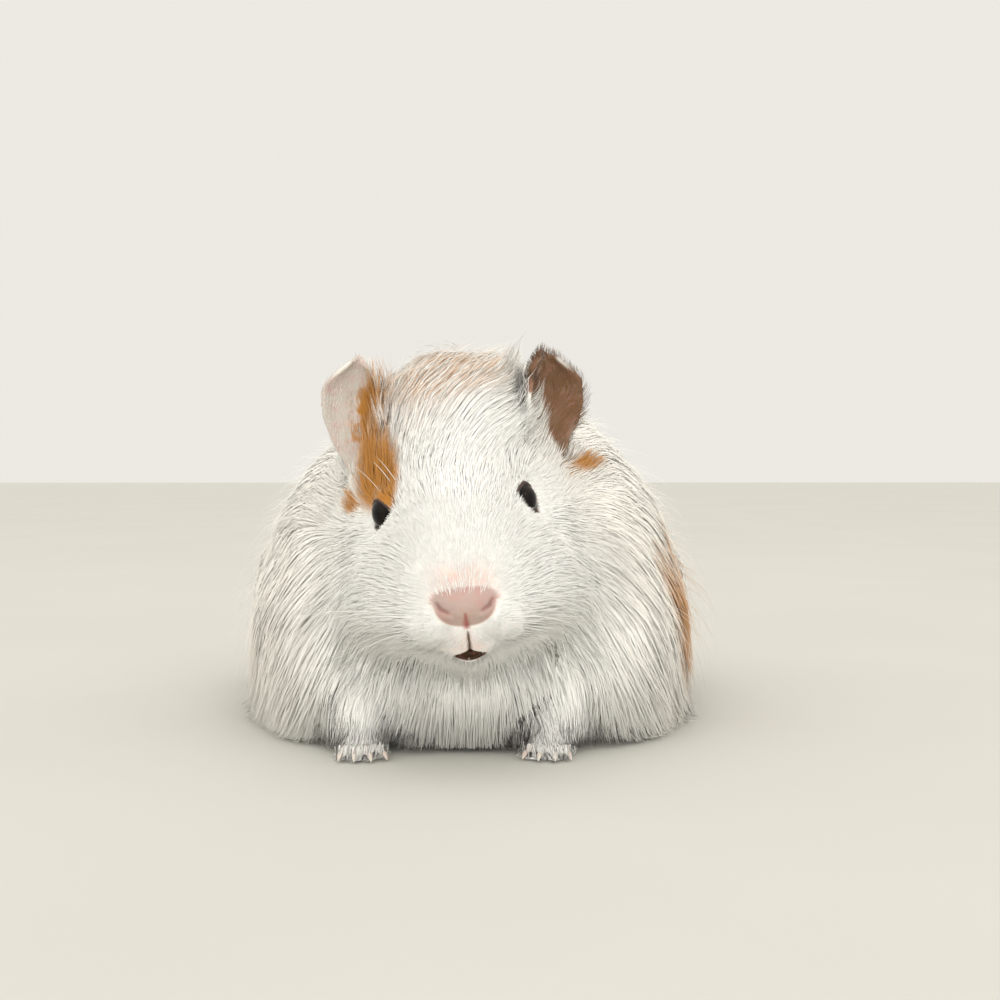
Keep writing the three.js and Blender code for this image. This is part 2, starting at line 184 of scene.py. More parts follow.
def unit(vectors):
    return vectors / np.maximum(np.linalg.norm(vectors, axis=-1, keepdims=True), 1e-9)


def dot(a, b):
    return np.sum(a * b, axis=-1, keepdims=True)


def mixed(a, b, share):
    """A blend from a to b, by one share or by a share for each row."""
    a, b, share = np.asarray(a), np.asarray(b), np.asarray(share)
    if share.ndim == 1:
        share = share[:, None]
    return a + (b - a) * share


def ripple(points, scale, seed):
    """A smooth wandering value from about -1 to 1 over space, from a few crossed waves."""
    rng = np.random.default_rng(seed)
    total = np.zeros(len(points))
    for _ in range(7):
        total += np.sin(points @ rng.normal(0, 1 / scale, 3) * 2 + rng.uniform(0, 2 * math.pi))
    return total / 3.2


def neighbour_sum(a, b, values):
    """For each point, the sum of its neighbours' values, over edges between the points a and b."""
    count = len(values)
    return np.stack([np.bincount(a, own[b], count) + np.bincount(b, own[a], count) for own in values.T], 1)


# ---- meshes and objects ----


def select_only(*objects):
    bpy.ops.object.select_all(action="DESELECT")
    for one in objects:
        one.select_set(True)
    bpy.context.view_layer.objects.active = objects[0]


def read(items, key, width, kind=np.float32):
    """A value of every item, as the rows of an array."""
    flat = np.empty(len(items) * width, kind)
    items.foreach_get(key, flat)
    return flat.reshape(-1, width)


def points_of(piece):
    return read(piece.data.vertices, "co", 3).astype(float) / MM


def move_points(piece, points):
    piece.data.vertices.foreach_set("co", (points * MM).astype(np.float32).ravel())
    piece.data.update()


def normals_of(piece):
    return read(piece.data.vertex_normals, "vector", 3).astype(float)


def rest_on_floor(piece):
    """Lifts whatever is under the floor up to it, and gives the points."""
    points = points_of(piece)
    points[:, 2] = np.maximum(points[:, 2], 0)
    move_points(piece, points)
    return points


def placed(name, data):
    """A new object in the scene."""
    piece = bpy.data.objects.new(name, data)
    bpy.context.scene.collection.objects.link(piece)
    return piece


def edited(piece, *steps):
    """Runs steps in edit mode with the whole mesh selected."""
    select_only(piece)
    bpy.ops.object.mode_set(mode="EDIT")
    bpy.ops.mesh.select_all(action="SELECT")
    for step in steps:
        step()
    bpy.ops.object.mode_set(mode="OBJECT")


def cad_copy(node, name, grow):
    """A merged copy of a CAD node's mesh, grown along its normals by some millimetres."""
    piece = placed(name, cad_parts[node].data.copy())
    piece.data.materials.clear()
    edited(piece, lambda: bpy.ops.mesh.remove_doubles(threshold=0.02 * MM))
    move_points(piece, points_of(piece) + normals_of(piece) * grow)
    return piece


def add_ball(name, centre, radii, segments=32, rings=16):
    """A ball stretched to three radii at a place in the row frame."""
    bpy.ops.object.select_all(action="DESELECT")
    bpy.ops.mesh.primitive_uv_sphere_add(segments=segments, ring_count=rings, radius=MM)
    piece = bpy.context.active_object
    piece.name = name
    move_points(piece, points_of(piece) * radii + centre)
    return piece


def joined(name, pieces):
    select_only(*pieces)
    if len(pieces) > 1:
        bpy.ops.object.join()
    pieces[0].name = name
    pieces[0].data.name = name
    return pieces[0]


def apply_modifier(piece, kind, **settings):
    modifier = piece.modifiers.new(kind.title(), kind)
    for key, value in settings.items():
        setattr(modifier, key, value)
    select_only(piece)
    bpy.ops.object.modifier_apply(modifier=modifier.name)


def refine(piece, chosen):
    """Subdivides the faces whose centres the test picks."""
    mesh = piece.data
    select_only(piece)
    mesh.vertices.foreach_set("select", np.zeros(len(mesh.vertices), bool))
    mesh.edges.foreach_set("select", np.zeros(len(mesh.edges), bool))
    mesh.polygons.foreach_set("select", chosen(read(mesh.polygons, "center", 3).astype(float) / MM))
    bpy.ops.object.mode_set(mode="EDIT")
    bpy.ops.mesh.select_mode(type="FACE")
    bpy.ops.mesh.subdivide(number_cuts=1, quadcorner="INNERVERT")
    bpy.ops.mesh.select_mode(type="VERT")
    bpy.ops.object.mode_set(mode="OBJECT")


def relax(piece, share, rounds):
    """Draws each point towards its neighbours' middle, by one share or by its own."""
    a, b = read(piece.data.edges, "vertices", 2, np.int32).T
    points = points_of(piece)
    count = np.maximum(neighbour_sum(a, b, np.ones((len(points), 1))), 1)
    for _ in range(rounds):
        points = mixed(points, neighbour_sum(a, b, points) / count, share)
    move_points(piece, points)


def paint(piece, name, colours):
    """Writes a colour, or one value, for each point as an attribute."""
    layer = piece.data.color_attributes.new(name=name, type="FLOAT_COLOR", domain="POINT")
    rgba = np.ones((len(colours), 4), np.float32)
    rgba[:, :3] = colours
    layer.data.foreach_set("color", rgba.ravel())


def finish_piece(piece, material, slot, *replaced):
    """Gives a piece its material and its place in the part."""
    piece.data.materials.clear()
    piece.data.materials.append(material)
    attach(piece, "root")
    if replaced:
        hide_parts(*replaced)
    return piece


# ---- the lie of the coat ----

# Each piece of coat is combed by guides: a place, the way the hair lies there, its length,
# and how far its tips stand off the skin. Where a guide's x is over 0 it is mirrored.
HEAD_COMBING = {
    "coat_nose": [
        ((0, 1, 49), (0, 0.25, 1), 3, 0.6), ((5, 1, 48), (0.15, 0.3, 0.9), 2.8, 0.6),
        ((0, 2, 53), (0, 0.35, 1), 3.6, 0.9), ((5, 2, 52), (0.2, 0.35, 0.9), 3.4, 0.9),
        ((0, 6, 60), (0, 0.6, 0.8), 4.2, 1.1), ((7, 7, 58), (0.3, 0.6, 0.75), 4, 1.1),
        ((0, 11, 67), (0, 0.7, 0.8), 5.2, 1.4), ((9, 15, 66), (0.4, 0.65, 0.7), 5, 1.4),
    ],
    "coat_muzzle": [
        ((2.5, 1, 38), (0.7, 0.1, -0.65), 2.3, 0.7), ((2.8, 1, 35), (0.95, 0.1, -0.3), 2.3, 0.7),
        ((3, 1, 31), (0.6, 0.1, -0.8), 1.6, 0.5), ((8, 3, 37), (0.9, 0.3, -0.4), 2.8, 0.9),
        ((10, 3, 44), (1, 0.4, 0.05), 3.2, 0.9), ((12, 6, 51), (0.9, 0.5, 0.35), 4.5, 1.2),
        ((15, 9, 43), (1, 0.45, 0), 9, 2.6), ((15, 8, 37), (0.9, 0.4, -0.3), 9, 2.6),
        ((18, 12, 34), (0.8, 0.45, -0.5), 9, 2.6), ((18, 15, 56), (0.85, 0.55, 0.35), 8, 2),
        ((0, 4, 30), (0, 0.3, -1), 2, 0.7), ((0, 13, 27), (0, 0.6, -0.8), 5, 2),
        ((12, 15, 29), (0.4, 0.6, -0.75), 6, 2.4),
    ],
    "coat_brow": [
        ((0, 19, 75), (0.02, 0.6, 0.8), 6.5, 2), ((12, 24, 75), (0.3, 0.6, 0.75), 6.5, 1.8),
        ((17, 27, 65), (0.6, 0.7, 0.3), 4.2, 1.1), ((16, 35, 80), (0.25, 0.5, 0.85), 6.5, 1.6),
        ((21, 34, 60), (0.7, 0.75, -0.1), 5.5, 1.4), ((24, 45, 71), (0.6, 0.85, 0.1), 6, 1.6),
    ],
    "coat_cheek": [
        ((23, 22, 58), (0.85, 0.6, 0.15), 9, 2.6), ((25, 25, 47), (0.85, 0.6, -0.15), 11, 3.4),
        ((24, 24, 35), (0.65, 0.5, -0.55), 12, 4.2), ((31, 37, 50), (0.75, 0.5, -0.4), 14, 5.2),
        ((30, 38, 34), (0.5, 0.4, -0.75), 15, 6.2), ((35, 56, 48), (0.65, 0.45, -0.6), 18, 7.2),
        ((28, 47, 62), (0.8, 0.6, -0.15), 11, 4), ((33, 60, 80), (0.65, 0.75, -0.05), 13, 4.5),
    ],
    "coat_throat": [
        ((14, 30, 27), (0.3, 0.4, -0.85), 10, 5), ((0, 28, 26), (0, 0.5, -0.85), 9, 4.5),
    ],
}
# The crown is swept up and to the animal's left and the ginger temple straight up: these aren't mirrored.
SWEPT_COMBING = {
    "coat_crown": [
        ((-13, 36, 86), (0.15, 0.4, 0.9), 9, 2.6), ((0, 31, 86), (0.3, 0.45, 0.85), 10, 3.2),
        ((10, 35, 87), (0.6, 0.35, 0.65), 13, 3.8), ((-12, 43, 95), (0.35, 0.4, 0.85), 15, 5),
        ((2, 41, 96), (0.5, 0.4, 0.75), 17, 5.5), ((14, 42, 93), (0.8, 0.15, 0.5), 17, 5),
        ((-15, 54, 104), (0.6, 0.35, 0.65), 21, 7), ((0, 52, 106), (0.65, 0.4, 0.55), 21, 7.5),
        ((15, 50, 101), (0.8, 0.15, 0.4), 19, 6), ((-14, 66, 111), (0.6, 0.6, 0.4), 20, 8),
        ((8, 67, 113), (0.6, 0.65, 0.3), 20, 8), ((25, 68, 102), (0.5, 0.85, 0.1), 16, 6),
        ((-27, 70, 100), (-0.1, 0.95, 0.1), 15, 6), ((0, 86, 110), (0.15, 1, -0.05), 20, 8),
        ((24, 86, 98), (0.35, 0.95, -0.1), 18, 7), ((-24, 86, 98), (-0.25, 0.95, -0.1), 18, 7),
    ],
    "coat_temple": [
        ((-21, 41, 77), (-0.05, 0.15, 1), 10, 2.6), ((-24, 46, 84), (-0.15, 0.1, 1), 15, 4),
        ((-20, 47, 88), (-0.15, 0.1, 1), 16, 4.5), ((-21, 52, 95), (-0.1, 0.1, 1), 18, 5),
    ],
}
BODY_COMBING = {
    "coat_chest": [
        ((0, -84, 30), (0, -0.15, -1), 20, 9), ((22, -84, 32), (0.3, -0.15, -1), 20, 9),
        ((0, -80, 12), (0, -0.1, -1), 14, 7), ((24, -78, 14), (0.3, -0.1, -1), 14, 7),
        ((38, -78, 34), (0.6, 0, -0.9), 23, 10),
    ],
    "coat_ruff": [
        ((47, -66, 50), (0.75, 0.2, -0.7), 25, 11), ((45, -64, 26), (0.6, 0.1, -0.9), 22, 10),
        ((41, -68, 76), (0.85, 0.35, -0.4), 22, 10), ((30, -50, 96), (0.65, 0.8, -0.05), 22, 9),
        ((0, -36, 107), (0.05, 1, 0.05), 22, 9),
    ],
    "coat_shoulder": [
        ((60, -44, 48), (0.6, 0.5, -0.7), 28, 13), ((58, -40, 20), (0.45, 0.3, -0.9), 24, 11),
        ((55, -40, 82), (0.7, 0.65, -0.3), 26, 11), ((30, -20, 106), (0.4, 0.9, -0.05), 24, 9),
    ],
    "coat_back": [
        ((0, 0, 112), (0, 1, 0), 23, 9), ((30, 6, 107), (0.35, 0.9, -0.15), 25, 9),
        ((0, 40, 112), (0, 1, -0.05), 25, 9), ((32, 46, 105), (0.3, 0.9, -0.2), 26, 10),
        ((0, 72, 106), (0, 0.95, -0.25), 27, 10),
    ],
    "coat_flank": [
        ((70, -6, 46), (0.35, 0.65, -0.7), 30, 14), ((70, -4, 18), (0.3, 0.35, -0.9), 24, 11),
        ((60, 0, 88), (0.45, 0.75, -0.45), 28, 12), ((74, 36, 46), (0.3, 0.7, -0.65), 30, 14),
        ((72, 38, 18), (0.25, 0.4, -0.9), 24, 11), ((62, 44, 88), (0.35, 0.8, -0.45), 28, 12),
    ],
    "coat_rump": [
        ((66, 74, 46), (0.25, 0.75, -0.65), 30, 14), ((62, 78, 18), (0.2, 0.45, -0.9), 24, 11),
        ((45, 82, 88), (0.25, 0.8, -0.5), 28, 12), ((0, 94, 94), (0, 0.85, -0.5), 28, 12),
        ((0, 112, 58), (0, 0.45, -0.9), 28, 13), ((34, 106, 48), (0.15, 0.5, -0.85), 28, 13),
        ((26, 110, 18), (0.1, 0.35, -0.9), 20, 10),
    ],
    "coat_belly": [
        ((0, -40, 6), (0, 0.8, -0.4), 10, 3), ((40, -30, 8), (0.3, 0.5, -0.7), 14, 5),
        ((0, 20, 6), (0, 1, -0.2), 10, 3), ((42, 20, 8), (0.3, 0.5, -0.7), 14, 5),
        ((0, 80, 6), (0, 1, -0.2), 10, 3), ((40, 80, 8), (0.3, 0.5, -0.7), 14, 5),
    ],
    "coat_legs": [
        ((28, -66, 18), (0.1, -0.2, -1), 14, 7), ((26, -78, 9), (0.05, -0.7, -0.7), 9, 4),
        ((26, -86, 4), (0.05, -1, -0.4), 6.5, 2.4), ((56, 28, 11), (0.2, -0.2, -0.9), 7, 2.5),
        ((57, 8, 8), (0.1, -0.9, -0.3), 4.5, 1.4), ((57, -3, 4), (0.1, -1, -0.2), 3, 0.9),
    ],
}
# On each ear: how far across and along it a guide is, how far it sweeps outwards, and its hair's length and
# height.
EAR_COMBING = {
    "left": [
        (-0.6, 0.12, 0.22, 12, 3.6), (0.5, 0.12, 0.05, 3.0, 0.9), (0.9, 0.3, 0, 1.8, 0.5),
        (-0.8, 0.38, 0.28, 14, 3.6), (0.2, 0.35, 0.1, 4.0, 1.2), (-0.8, 0.62, 0.2, 11, 3.0),
        (0.0, 0.62, 0.05, 2.6, 0.7), (0.9, 0.6, 0.2, 3.4, 1.2), (-0.7, 0.85, -1.6, 6, 1.2),
        (0.5, 0.85, 0, 2.2, 0.6), (-0.3, 0.97, -1.6, 3.5, 0.6), (0.9, 0.85, 0.2, 3.4, 1.2),
    ],
    "right": [
        (-0.7, 0.15, 0.02, 11, 3.0), (0.5, 0.12, 0, 1.6, 0.5), (0.9, 0.3, 0, 1.3, 0.4),
        (-0.7, 0.35, 0.02, 13, 3.2), (0.3, 0.35, 0, 1.5, 0.4), (-0.7, 0.52, 0, 10, 2.6),
        (0.2, 0.6, 0, 1.3, 0.4), (0.8, 0.6, 0, 1.3, 0.4), (-0.6, 0.78, 0, 2.2, 0.6),
        (0.4, 0.85, 0, 1.3, 0.4), (0.0, 0.97, 0, 1.5, 0.4),
    ],
}
# Pieces made once for each side.
PARTED = ("coat_cheek",)
# How deep the smooth coat lies, against the heights of the guides, which its wisps reach.
DEPTHS = {"coat_crown": 0.18, "coat_temple": 0.3, "coat_muzzle": 0.3, "coat_nose": 0.4, "coat_legs": 0.3}
HEAD_DEPTH, BODY_DEPTH, EAR_DEPTH = 0.12, 0.03, 0.6


def guide_rows():
    """All guides in the row frame: piece names, places, directions, and lengths, heights and depths."""
    names, places, ways, lengths, heights, depths = [], [], [], [], [], []

    def add(name, place, way, length, height, depth):
        names.append(name)
        places.append(place)
        ways.append(unit(np.asarray(way, float)))
        lengths.append(length)
        heights.append(height)
        depths.append(height * DEPTHS.get(name, depth))

    for table, place_of, turn_of, depth in (
        (HEAD_COMBING, head_place, head_turn, HEAD_DEPTH),
        (SWEPT_COMBING, head_place, head_turn, HEAD_DEPTH),
        (BODY_COMBING, np.asarray, np.asarray, BODY_DEPTH),
    ):
        for name, rows in table.items():
            for place, way, length, height in rows:
                for side in (1, -1) if place[0] > 0 and table is not SWEPT_COMBING else (1,):
                    flip = np.array([side, 1, 1])
                    where = place_of(np.array([place]) * flip)[0]
                    own_name = name + ("_left" if side > 0 else "_right") if name in PARTED else name
                    add(own_name, where, turn_of(np.array([way]) * flip)[0], length, height, depth)
    for name in SIDES:
        for u, h, sweep, length, height in EAR_COMBING[name]:
            low, high = ear_place(name, [u, u * 0.9 + sweep], [h, h + 0.05])
            add(f"coat_ear_{name}", low, high - low, length, height, EAR_DEPTH)
    return names, np.array(places), np.array(ways), np.stack([lengths, heights, depths], 1)


GUIDE_NAMES, GUIDE_PLACES, GUIDE_WAYS, GUIDE_SIZES = guide_rows()
COAT_NAMES = sorted(set(GUIDE_NAMES))
GUIDE_PIECES = np.array([COAT_NAMES.index(name) for name in GUIDE_NAMES])


def combing(points):
    """The way the hair lies at each point, its length, its wisps' height, its depth and its piece."""
    ways, sizes = np.empty((len(points), 3)), np.empty((len(points), 3))
    nearest = np.empty(len(points), int)
    for start in range(0, len(points), 20000):
        part = slice(start, start + 20000)
        gap = np.sum((points[part, None] - GUIDE_PLACES[None]) ** 2, 2)
        nearest[part] = GUIDE_PIECES[gap.argmin(1)]
        weight = 1 / (gap + 9) ** 2.2
        weight /= weight.sum(1, keepdims=True)
        ways[part] = unit(weight @ GUIDE_WAYS)
        sizes[part] = weight @ GUIDE_SIZES
    return ways, *sizes.T, nearest


def drawn_in(points, axis, amount):
    """Points moved towards the nearest place on an axis."""
    start, end = np.array(axis[0], float), np.array(axis[1], float)
    along = end - start
    t = np.clip((points - start) @ along / (along @ along), 0, 1)
    middle = start + t[:, None] * along
    out = points - middle
    far = np.linalg.norm(out, axis=1)
    return middle + out * (1 - np.minimum(amount / np.maximum(far, 1), 0.8))[:, None]


# ---- markings, shared by skin and coat ----

# Soft patches of colour: the frame they are placed in, their centre and their radii.
GINGER_PATCHES = [
    ("head", (-22.5, 44, 80), (6.5, 13, 10)),
    ("head", (-26, 50, 97), (7.3, 14, 14)),
    ("head", (-19, 34, 76), (4.6, 9, 6.5)),
    ("head", (-29.5, 50, 72), (4.5, 8, 2.6)),
    ("head", (36.5, 66, 77.5), (7, 10, 2.6)),
    ("body", (74, -38, 50), (21, 32, 21)),
    ("body", (-80, -28, 37), (14, 26, 14)),
    ("body", (24, 92, 92), (40, 34, 34)),
]
CHOCOLATE_PATCHES = [("body", (46, 104, 74), (24, 22, 22))]
BROWN_TIPS = [("head", (-12, 54, 103), (17, 20, 16))]
# Beside the dark ear the hair tips are greyed: partly their own darker tips, partly painted shade of the
# hollow there.
TIPS_GREYED_AND_SHADED = [("head", (16, 50, 98), (12, 16, 12))]


def patches(points, rows, soft=0.3):
    """How far points lie in any of the patches, from 0 to 1, with a ragged edge."""
    total = np.zeros(len(points))
    head, wander = head_view(points), 0.16 * ripple(points, 9, 5)
    for kind, centre, radii in rows:
        own = head if kind == "head" else points
        gap = np.linalg.norm((own - centre) / np.array(radii, float), axis=1) + wander
        total = np.maximum(total, 1 - ease(gap, 1 - soft, 1 + soft))
    return total


# At levels of each ear, how far across it the long hair of the temple or crown covers it.
EAR_FANS = {
    "left": ((0, -0.6), (0.25, -0.45), (0.4, -0.05), (0.6, -0.15), (0.72, -1.4)),
    "right": ((0, 0), (0.3, 0.15), (0.55, 0.2), (0.75, -0.1), (0.88, -1.4)),
}


def ear_share(name, points):
    """1 on an ear's sheet and 0 off it."""
    u, h, off = ear_view(name, points)
    return ease(h, 0.1, 0.24) * (h < 1.12) * (1 - ease(np.abs(off), 2.2, 3.4)) * (np.abs(u) < 1.25)


def bare_ear(name, points):
    """1 on the part of an ear that the long hair of the temple or crown leaves in view."""
    u, h, _ = ear_view(name, points)
    levels, edges = np.array(EAR_FANS[name]).T
    fan = 1 - ease(u + 0.25 * ripple(points, 3, 17) - np.interp(h, levels, edges), -0.2, 0.2)
    return ear_share(name, points) * (1 - fan)


def coat_colour(points, settings):
    """The coat's colour at points of the skin."""
    cream = 0.5 + 0.5 * ripple(points, 30, 8)
    body = ease(points[:, 1], HEAD_START + 34, HEAD_START + 70)
    colour = mixed(settings.white, settings.cream, body * (0.35 + 0.45 * cream))
    colour = mixed(colour, settings.ginger, patches(points, GINGER_PATCHES))
    colour = mixed(colour, settings.chocolate, patches(points, CHOCOLATE_PATCHES))
    return mixed(colour, settings.chocolate, bare_ear("left", points))


def nose_share(points):
    """1 on the bare nose pad, fading above it where the short hairs begin."""
    x, y, z = head_view(points).T
    up = (z - NOSE["z"]) / NOSE["high"]
    wide = NOSE["half"] * (1 + 0.2 * np.clip(up, -1, 1))
    square = NOSE["square"]
    gap = (np.abs(x / wide) ** square + np.abs(np.where(up > 0, up * 0.92, up)) ** square) ** (1 / square)
    return (1 - ease(gap, 0.9, np.where(up > 0.3, 1.22, 1.06))) * (1 - ease(y, 9, 13))


def above_nose(points):
    """1 where the pink skin above the nose pad shows through the short hairs."""
    x, y, z = head_view(points).T
    return hump((x / 9) ** 2, (z - 52) / 4.6) * (y < 16)


def mouth_share(points):
    """1 in the gap between the lips."""
    x, y, z = head_view(points).T
    t = np.abs(x - MOUTH["x"]) / MOUTH["half"]
    low = MOUTH["low"] + (MOUTH["corner"] - MOUTH["low"]) * t * t
    top = MOUTH["top"] - (MOUTH["top"] - MOUTH["corner"]) * np.clip(t, 0, 1) ** 0.7
    inside = np.minimum(ease(z, low - 0.3, low + 0.15), 1 - ease(z, top - 0.15, top + 0.3))
    return inside * (1 - ease(t, 0.85, 1.1)) * (1 - ease(y, 11, 14))


def eye_frame(side):
    """An eye's centre, and the ways out of it, towards the nose and up, in the row frame."""
    centre = head_place([[side * EYE["x"] + EYE["shift"], EYE["y"], EYE["z"]]])[0]
    out = unit(head_turn([[side * 0.85, -0.48, EYE_RISE[side]]]))[0]
    fore = unit(np.cross(head_turn([[0, 0, 1]])[0], out)) * -side
    up = np.cross(out, fore) * side
    c, s = math.cos(EYE_LEAN), math.sin(EYE_LEAN)
    return centre, out, fore * c + up * s, up * c - fore * s


def lid_gap(side, points):
    """How far points are from an eye's opening's middle, 1 at the lids' rim, and from its ball's centre."""
    centre, out, fore, up = eye_frame(side)
    away = points - centre
    far = np.linalg.norm(away, axis=1)
    way = away / np.maximum(far, 0.1)[:, None]
    wide, high, lift = OPENING[side]
    wide = wide * (1 - 0.35 * np.clip(way @ up, 0, 1))
    gap = (np.abs(way @ fore / wide) ** 1.8 + np.abs((way @ up - lift) / high) ** 1.8) ** (1 / 1.8)
    gap = gap * (1 + 0.6 * ease(0.45 - way @ out, 0, 0.45))
    return np.where(way @ out > 0, gap, 3), far


def near_lids(points):
    """1 at the rim of the lids, where the hair is shortest, and 0 away from the eyes."""
    near = np.zeros(len(points))
    for side in SIDES.values():
        gap, far = lid_gap(side, points)
        near = np.maximum(near, (1 - ease(gap, 1.15, 2.1)) * (1 - ease(far, 8, 12)))
    return near


def near_mouth(points):
    """1 round the mouth, where the hair is too short to cross it, and 0 away from it."""
    x, y, z = head_view(points).T
    across = (x - MOUTH["x"]) / (MOUTH["half"] + 1)
    return hump(across**2, ((z - MOUTH["corner"] - 1) / 2.6) ** 2) * (y < 9)


def bare_share(points):
    """Where the skin is bare: nose, lips, lids, ears and toes."""
    x, y, z = head_view(points).T
    lips = hump(x / 5.5, (z - 35.5) / 3.6) * (y < 9)
    toes = (points[:, 2] < 5) & (points[:, 1] < 10)
    shares = [nose_share(points), mouth_share(points), 0.5 * lips, 0.75 * above_nose(points), 0.2 * toes]
    for name, side in SIDES.items():
        gap, far = lid_gap(side, points)
        shares.append(0.3 * (1 - ease(gap, 1.05, 1.2)) * (far < LID_REACH))
        shares.append(bare_ear(name, points))
    return np.max(shares, axis=0)


# ---- materials ----


def add_node(tree, kind, inputs=(), **settings):
    node = tree.nodes.new(f"ShaderNode{kind}")
    for key, value in settings.items():
        setattr(node, key, value)
    for key, value in dict(inputs).items():
        node.inputs[key].default_value = value
    return node


def link(tree, *rows):
    """Joins nodes: each row is a node, its output, the next node and its input."""
    for source, output, target, socket in rows:
        tree.links.new(source.outputs[output], target.inputs[socket])


def new_group(name, inputs):
    """A node group that gives a colour, a roughness and a height, with inputs as name: (type, default)."""
    tree = bpy.data.node_groups.new(name, "ShaderNodeTree")
    outputs = {"Color": ("Color", None), "Roughness": ("Float", None), "Height": ("Float", None)}
    for direction, sockets in (("INPUT", inputs), ("OUTPUT", outputs)):
        for key, (kind, default) in sockets.items():
            socket = tree.interface.new_socket(key, in_out=direction, socket_type=f"NodeSocket{kind}")
            if default is not None:
                socket.default_value = default
    return tree, tree.nodes.new("NodeGroupInput"), tree.nodes.new("NodeGroupOutput")


def strand_group():
    """Hair colour with fine streaks, and its uneven gloss."""
    name = "Strand Shade"
    if name in bpy.data.node_groups:
        return bpy.data.node_groups[name]
    tree, take, give = new_group(name, {"Color": ("Color", None), "Streak": ("Float", 0.12)})
    place = add_node(tree, "TexCoord")
    fine = add_node(tree, "TexNoise", {"Scale": 900, "Detail": 3})
    broad = add_node(tree, "TexNoise", {"Scale": 90, "Detail": 2})
    shade = add_node(tree, "Mix", data_type="RGBA", blend_type="MULTIPLY")
    grey = add_node(tree, "MapRange", {"From Min": 0.3, "From Max": 0.7, "To Min": 0.72, "To Max": 1.06})
    rough = add_node(tree, "MapRange", {"To Min": 0.5, "To Max": 0.8})
    link(
        tree,
        (place, "Object", fine, "Vector"), (place, "Object", broad, "Vector"), (fine, "Fac", grey, "Value"),
        (take, "Streak", shade, 0), (take, "Color", shade, 6), (grey, "Result", shade, 7),
        (broad, "Fac", rough, "Value"), (shade, 2, give, "Color"), (rough, "Result", give, "Roughness"),
        (fine, "Fac", give, "Height"),
    )
    return tree


def grain_group():
    """Skin: pebbled and mottled where bare, and streaked like short flat hair elsewhere."""
    name = "Skin Grain"
    if name in bpy.data.node_groups:
        return bpy.data.node_groups[name]
    sockets = {"Color": ("Color", None), "Bare": ("Float", 1.0), "Flush": ("Color", (0.62, 0.2, 0.17, 1))}
    tree, take, give = new_group(name, sockets)
    place = add_node(tree, "TexCoord")
    stretch = add_node(tree, "Mapping", {"Scale": (1, 0.3, 0.35)})
    hairs = add_node(tree, "TexNoise", {"Scale": 1500, "Detail": 4})
    pebbles = add_node(tree, "TexVoronoi", {"Scale": 1400})
    mottle = add_node(tree, "TexNoise", {"Scale": 260, "Detail": 5, "Roughness": 0.6})
    height = add_node(tree, "Mix", data_type="FLOAT")
    blotch = add_node(tree, "MapRange", {"From Min": 0.42, "From Max": 0.72, "To Min": 0, "To Max": 0.32})
    amount = add_node(tree, "Math", operation="MULTIPLY")
    flush = add_node(tree, "Mix", data_type="RGBA")
    rough = add_node(tree, "MapRange", {"To Min": 0.75, "To Max": 0.42})
    link(
        tree,
        (place, "Object", stretch, "Vector"), (stretch, "Vector", hairs, "Vector"),
        (place, "Object", pebbles, "Vector"), (place, "Object", mottle, "Vector"),
        (take, "Bare", height, 0), (hairs, "Fac", height, 2), (pebbles, "Distance", height, 3),
        (mottle, "Fac", blotch, "Value"), (blotch, "Result", amount, 0), (take, "Bare", amount, 1),
        (amount, "Value", flush, 0), (take, "Color", flush, 6), (take, "Flush", flush, 7),
        (take, "Bare", rough, "Value"), (flush, 2, give, "Color"), (rough, "Result", give, "Roughness"),
        (height, 0, give, "Height"),
    )
    return tree


def new_material(name, constants=()):
    """A material with constants on its shader, and its nodes and shader."""
    material = bpy.data.materials.new(name)
    material.use_nodes = True
    shader = material.node_tree.nodes["Principled BSDF"]
    for key, value in dict(constants).items():
        shader.inputs[key].default_value = value
    return material, material.node_tree, shader


def material_with(name, group, strength, distance, constants=()):
    """A material whose group reads the painted attributes and feeds colour, gloss and bump."""
    material, tree, shader = new_material(name, constants)
    pattern = add_node(tree, "Group", node_tree=group)
    for socket, attribute, output in (("Color", "tint", "Color"), ("Bare", "bare", "Fac")):
        if socket in pattern.inputs:
            link(tree, (add_node(tree, "Attribute", attribute_name=attribute), output, pattern, socket))
    relief = add_node(tree, "Bump", {"Strength": strength, "Distance": distance * MM})
    link(
        tree,
        (pattern, "Color", shader, "Base Color"), (pattern, "Roughness", shader, "Roughness"),
        (pattern, "Height", relief, "Height"), (relief, "Normal", shader, "Normal"),
    )
    return material


def hair_material(name="Soft Hair"):
    if name in bpy.data.materials:
        return bpy.data.materials[name]
    constants = {"Specular IOR Level": 0.15, "Sheen Weight": 0.25, "Sheen Roughness": 0.4}
    return material_with(name, strand_group(), 0.15, 0.05, constants)


def skin_material():
    constants = {"Subsurface Weight": 0.12, "Subsurface Scale": 0.001, "Specular IOR Level": 0.3}
    return material_with("Living Skin", grain_group(), 0.3, 0.12, constants)


def eye_material():
    """A near-black wet eye, faintly brown in a ring round the pupil."""
    material, tree, shader = new_material("Wet Eye", {"Specular IOR Level": 0.14})
    reader = add_node(tree, "Attribute", attribute_name="tint")
    place = add_node(tree, "TexCoord")
    fibres = add_node(tree, "TexNoise", {"Scale": 1200, "Detail": 4})
    darken = add_node(tree, "Mix", {0: 0.6}, data_type="RGBA", blend_type="MULTIPLY")
    gloss = add_node(tree, "MapRange", {"To Min": 0.02, "To Max": 0.07})
    link(
        tree,
        (place, "Object", fibres, "Vector"), (reader, "Color", darken, 6), (fibres, "Fac", darken, 7),
        (darken, 2, shader, "Base Color"),
        (fibres, "Fac", gloss, "Value"), (gloss, "Result", shader, "Roughness"),
    )
    return material


# ---- skin ----

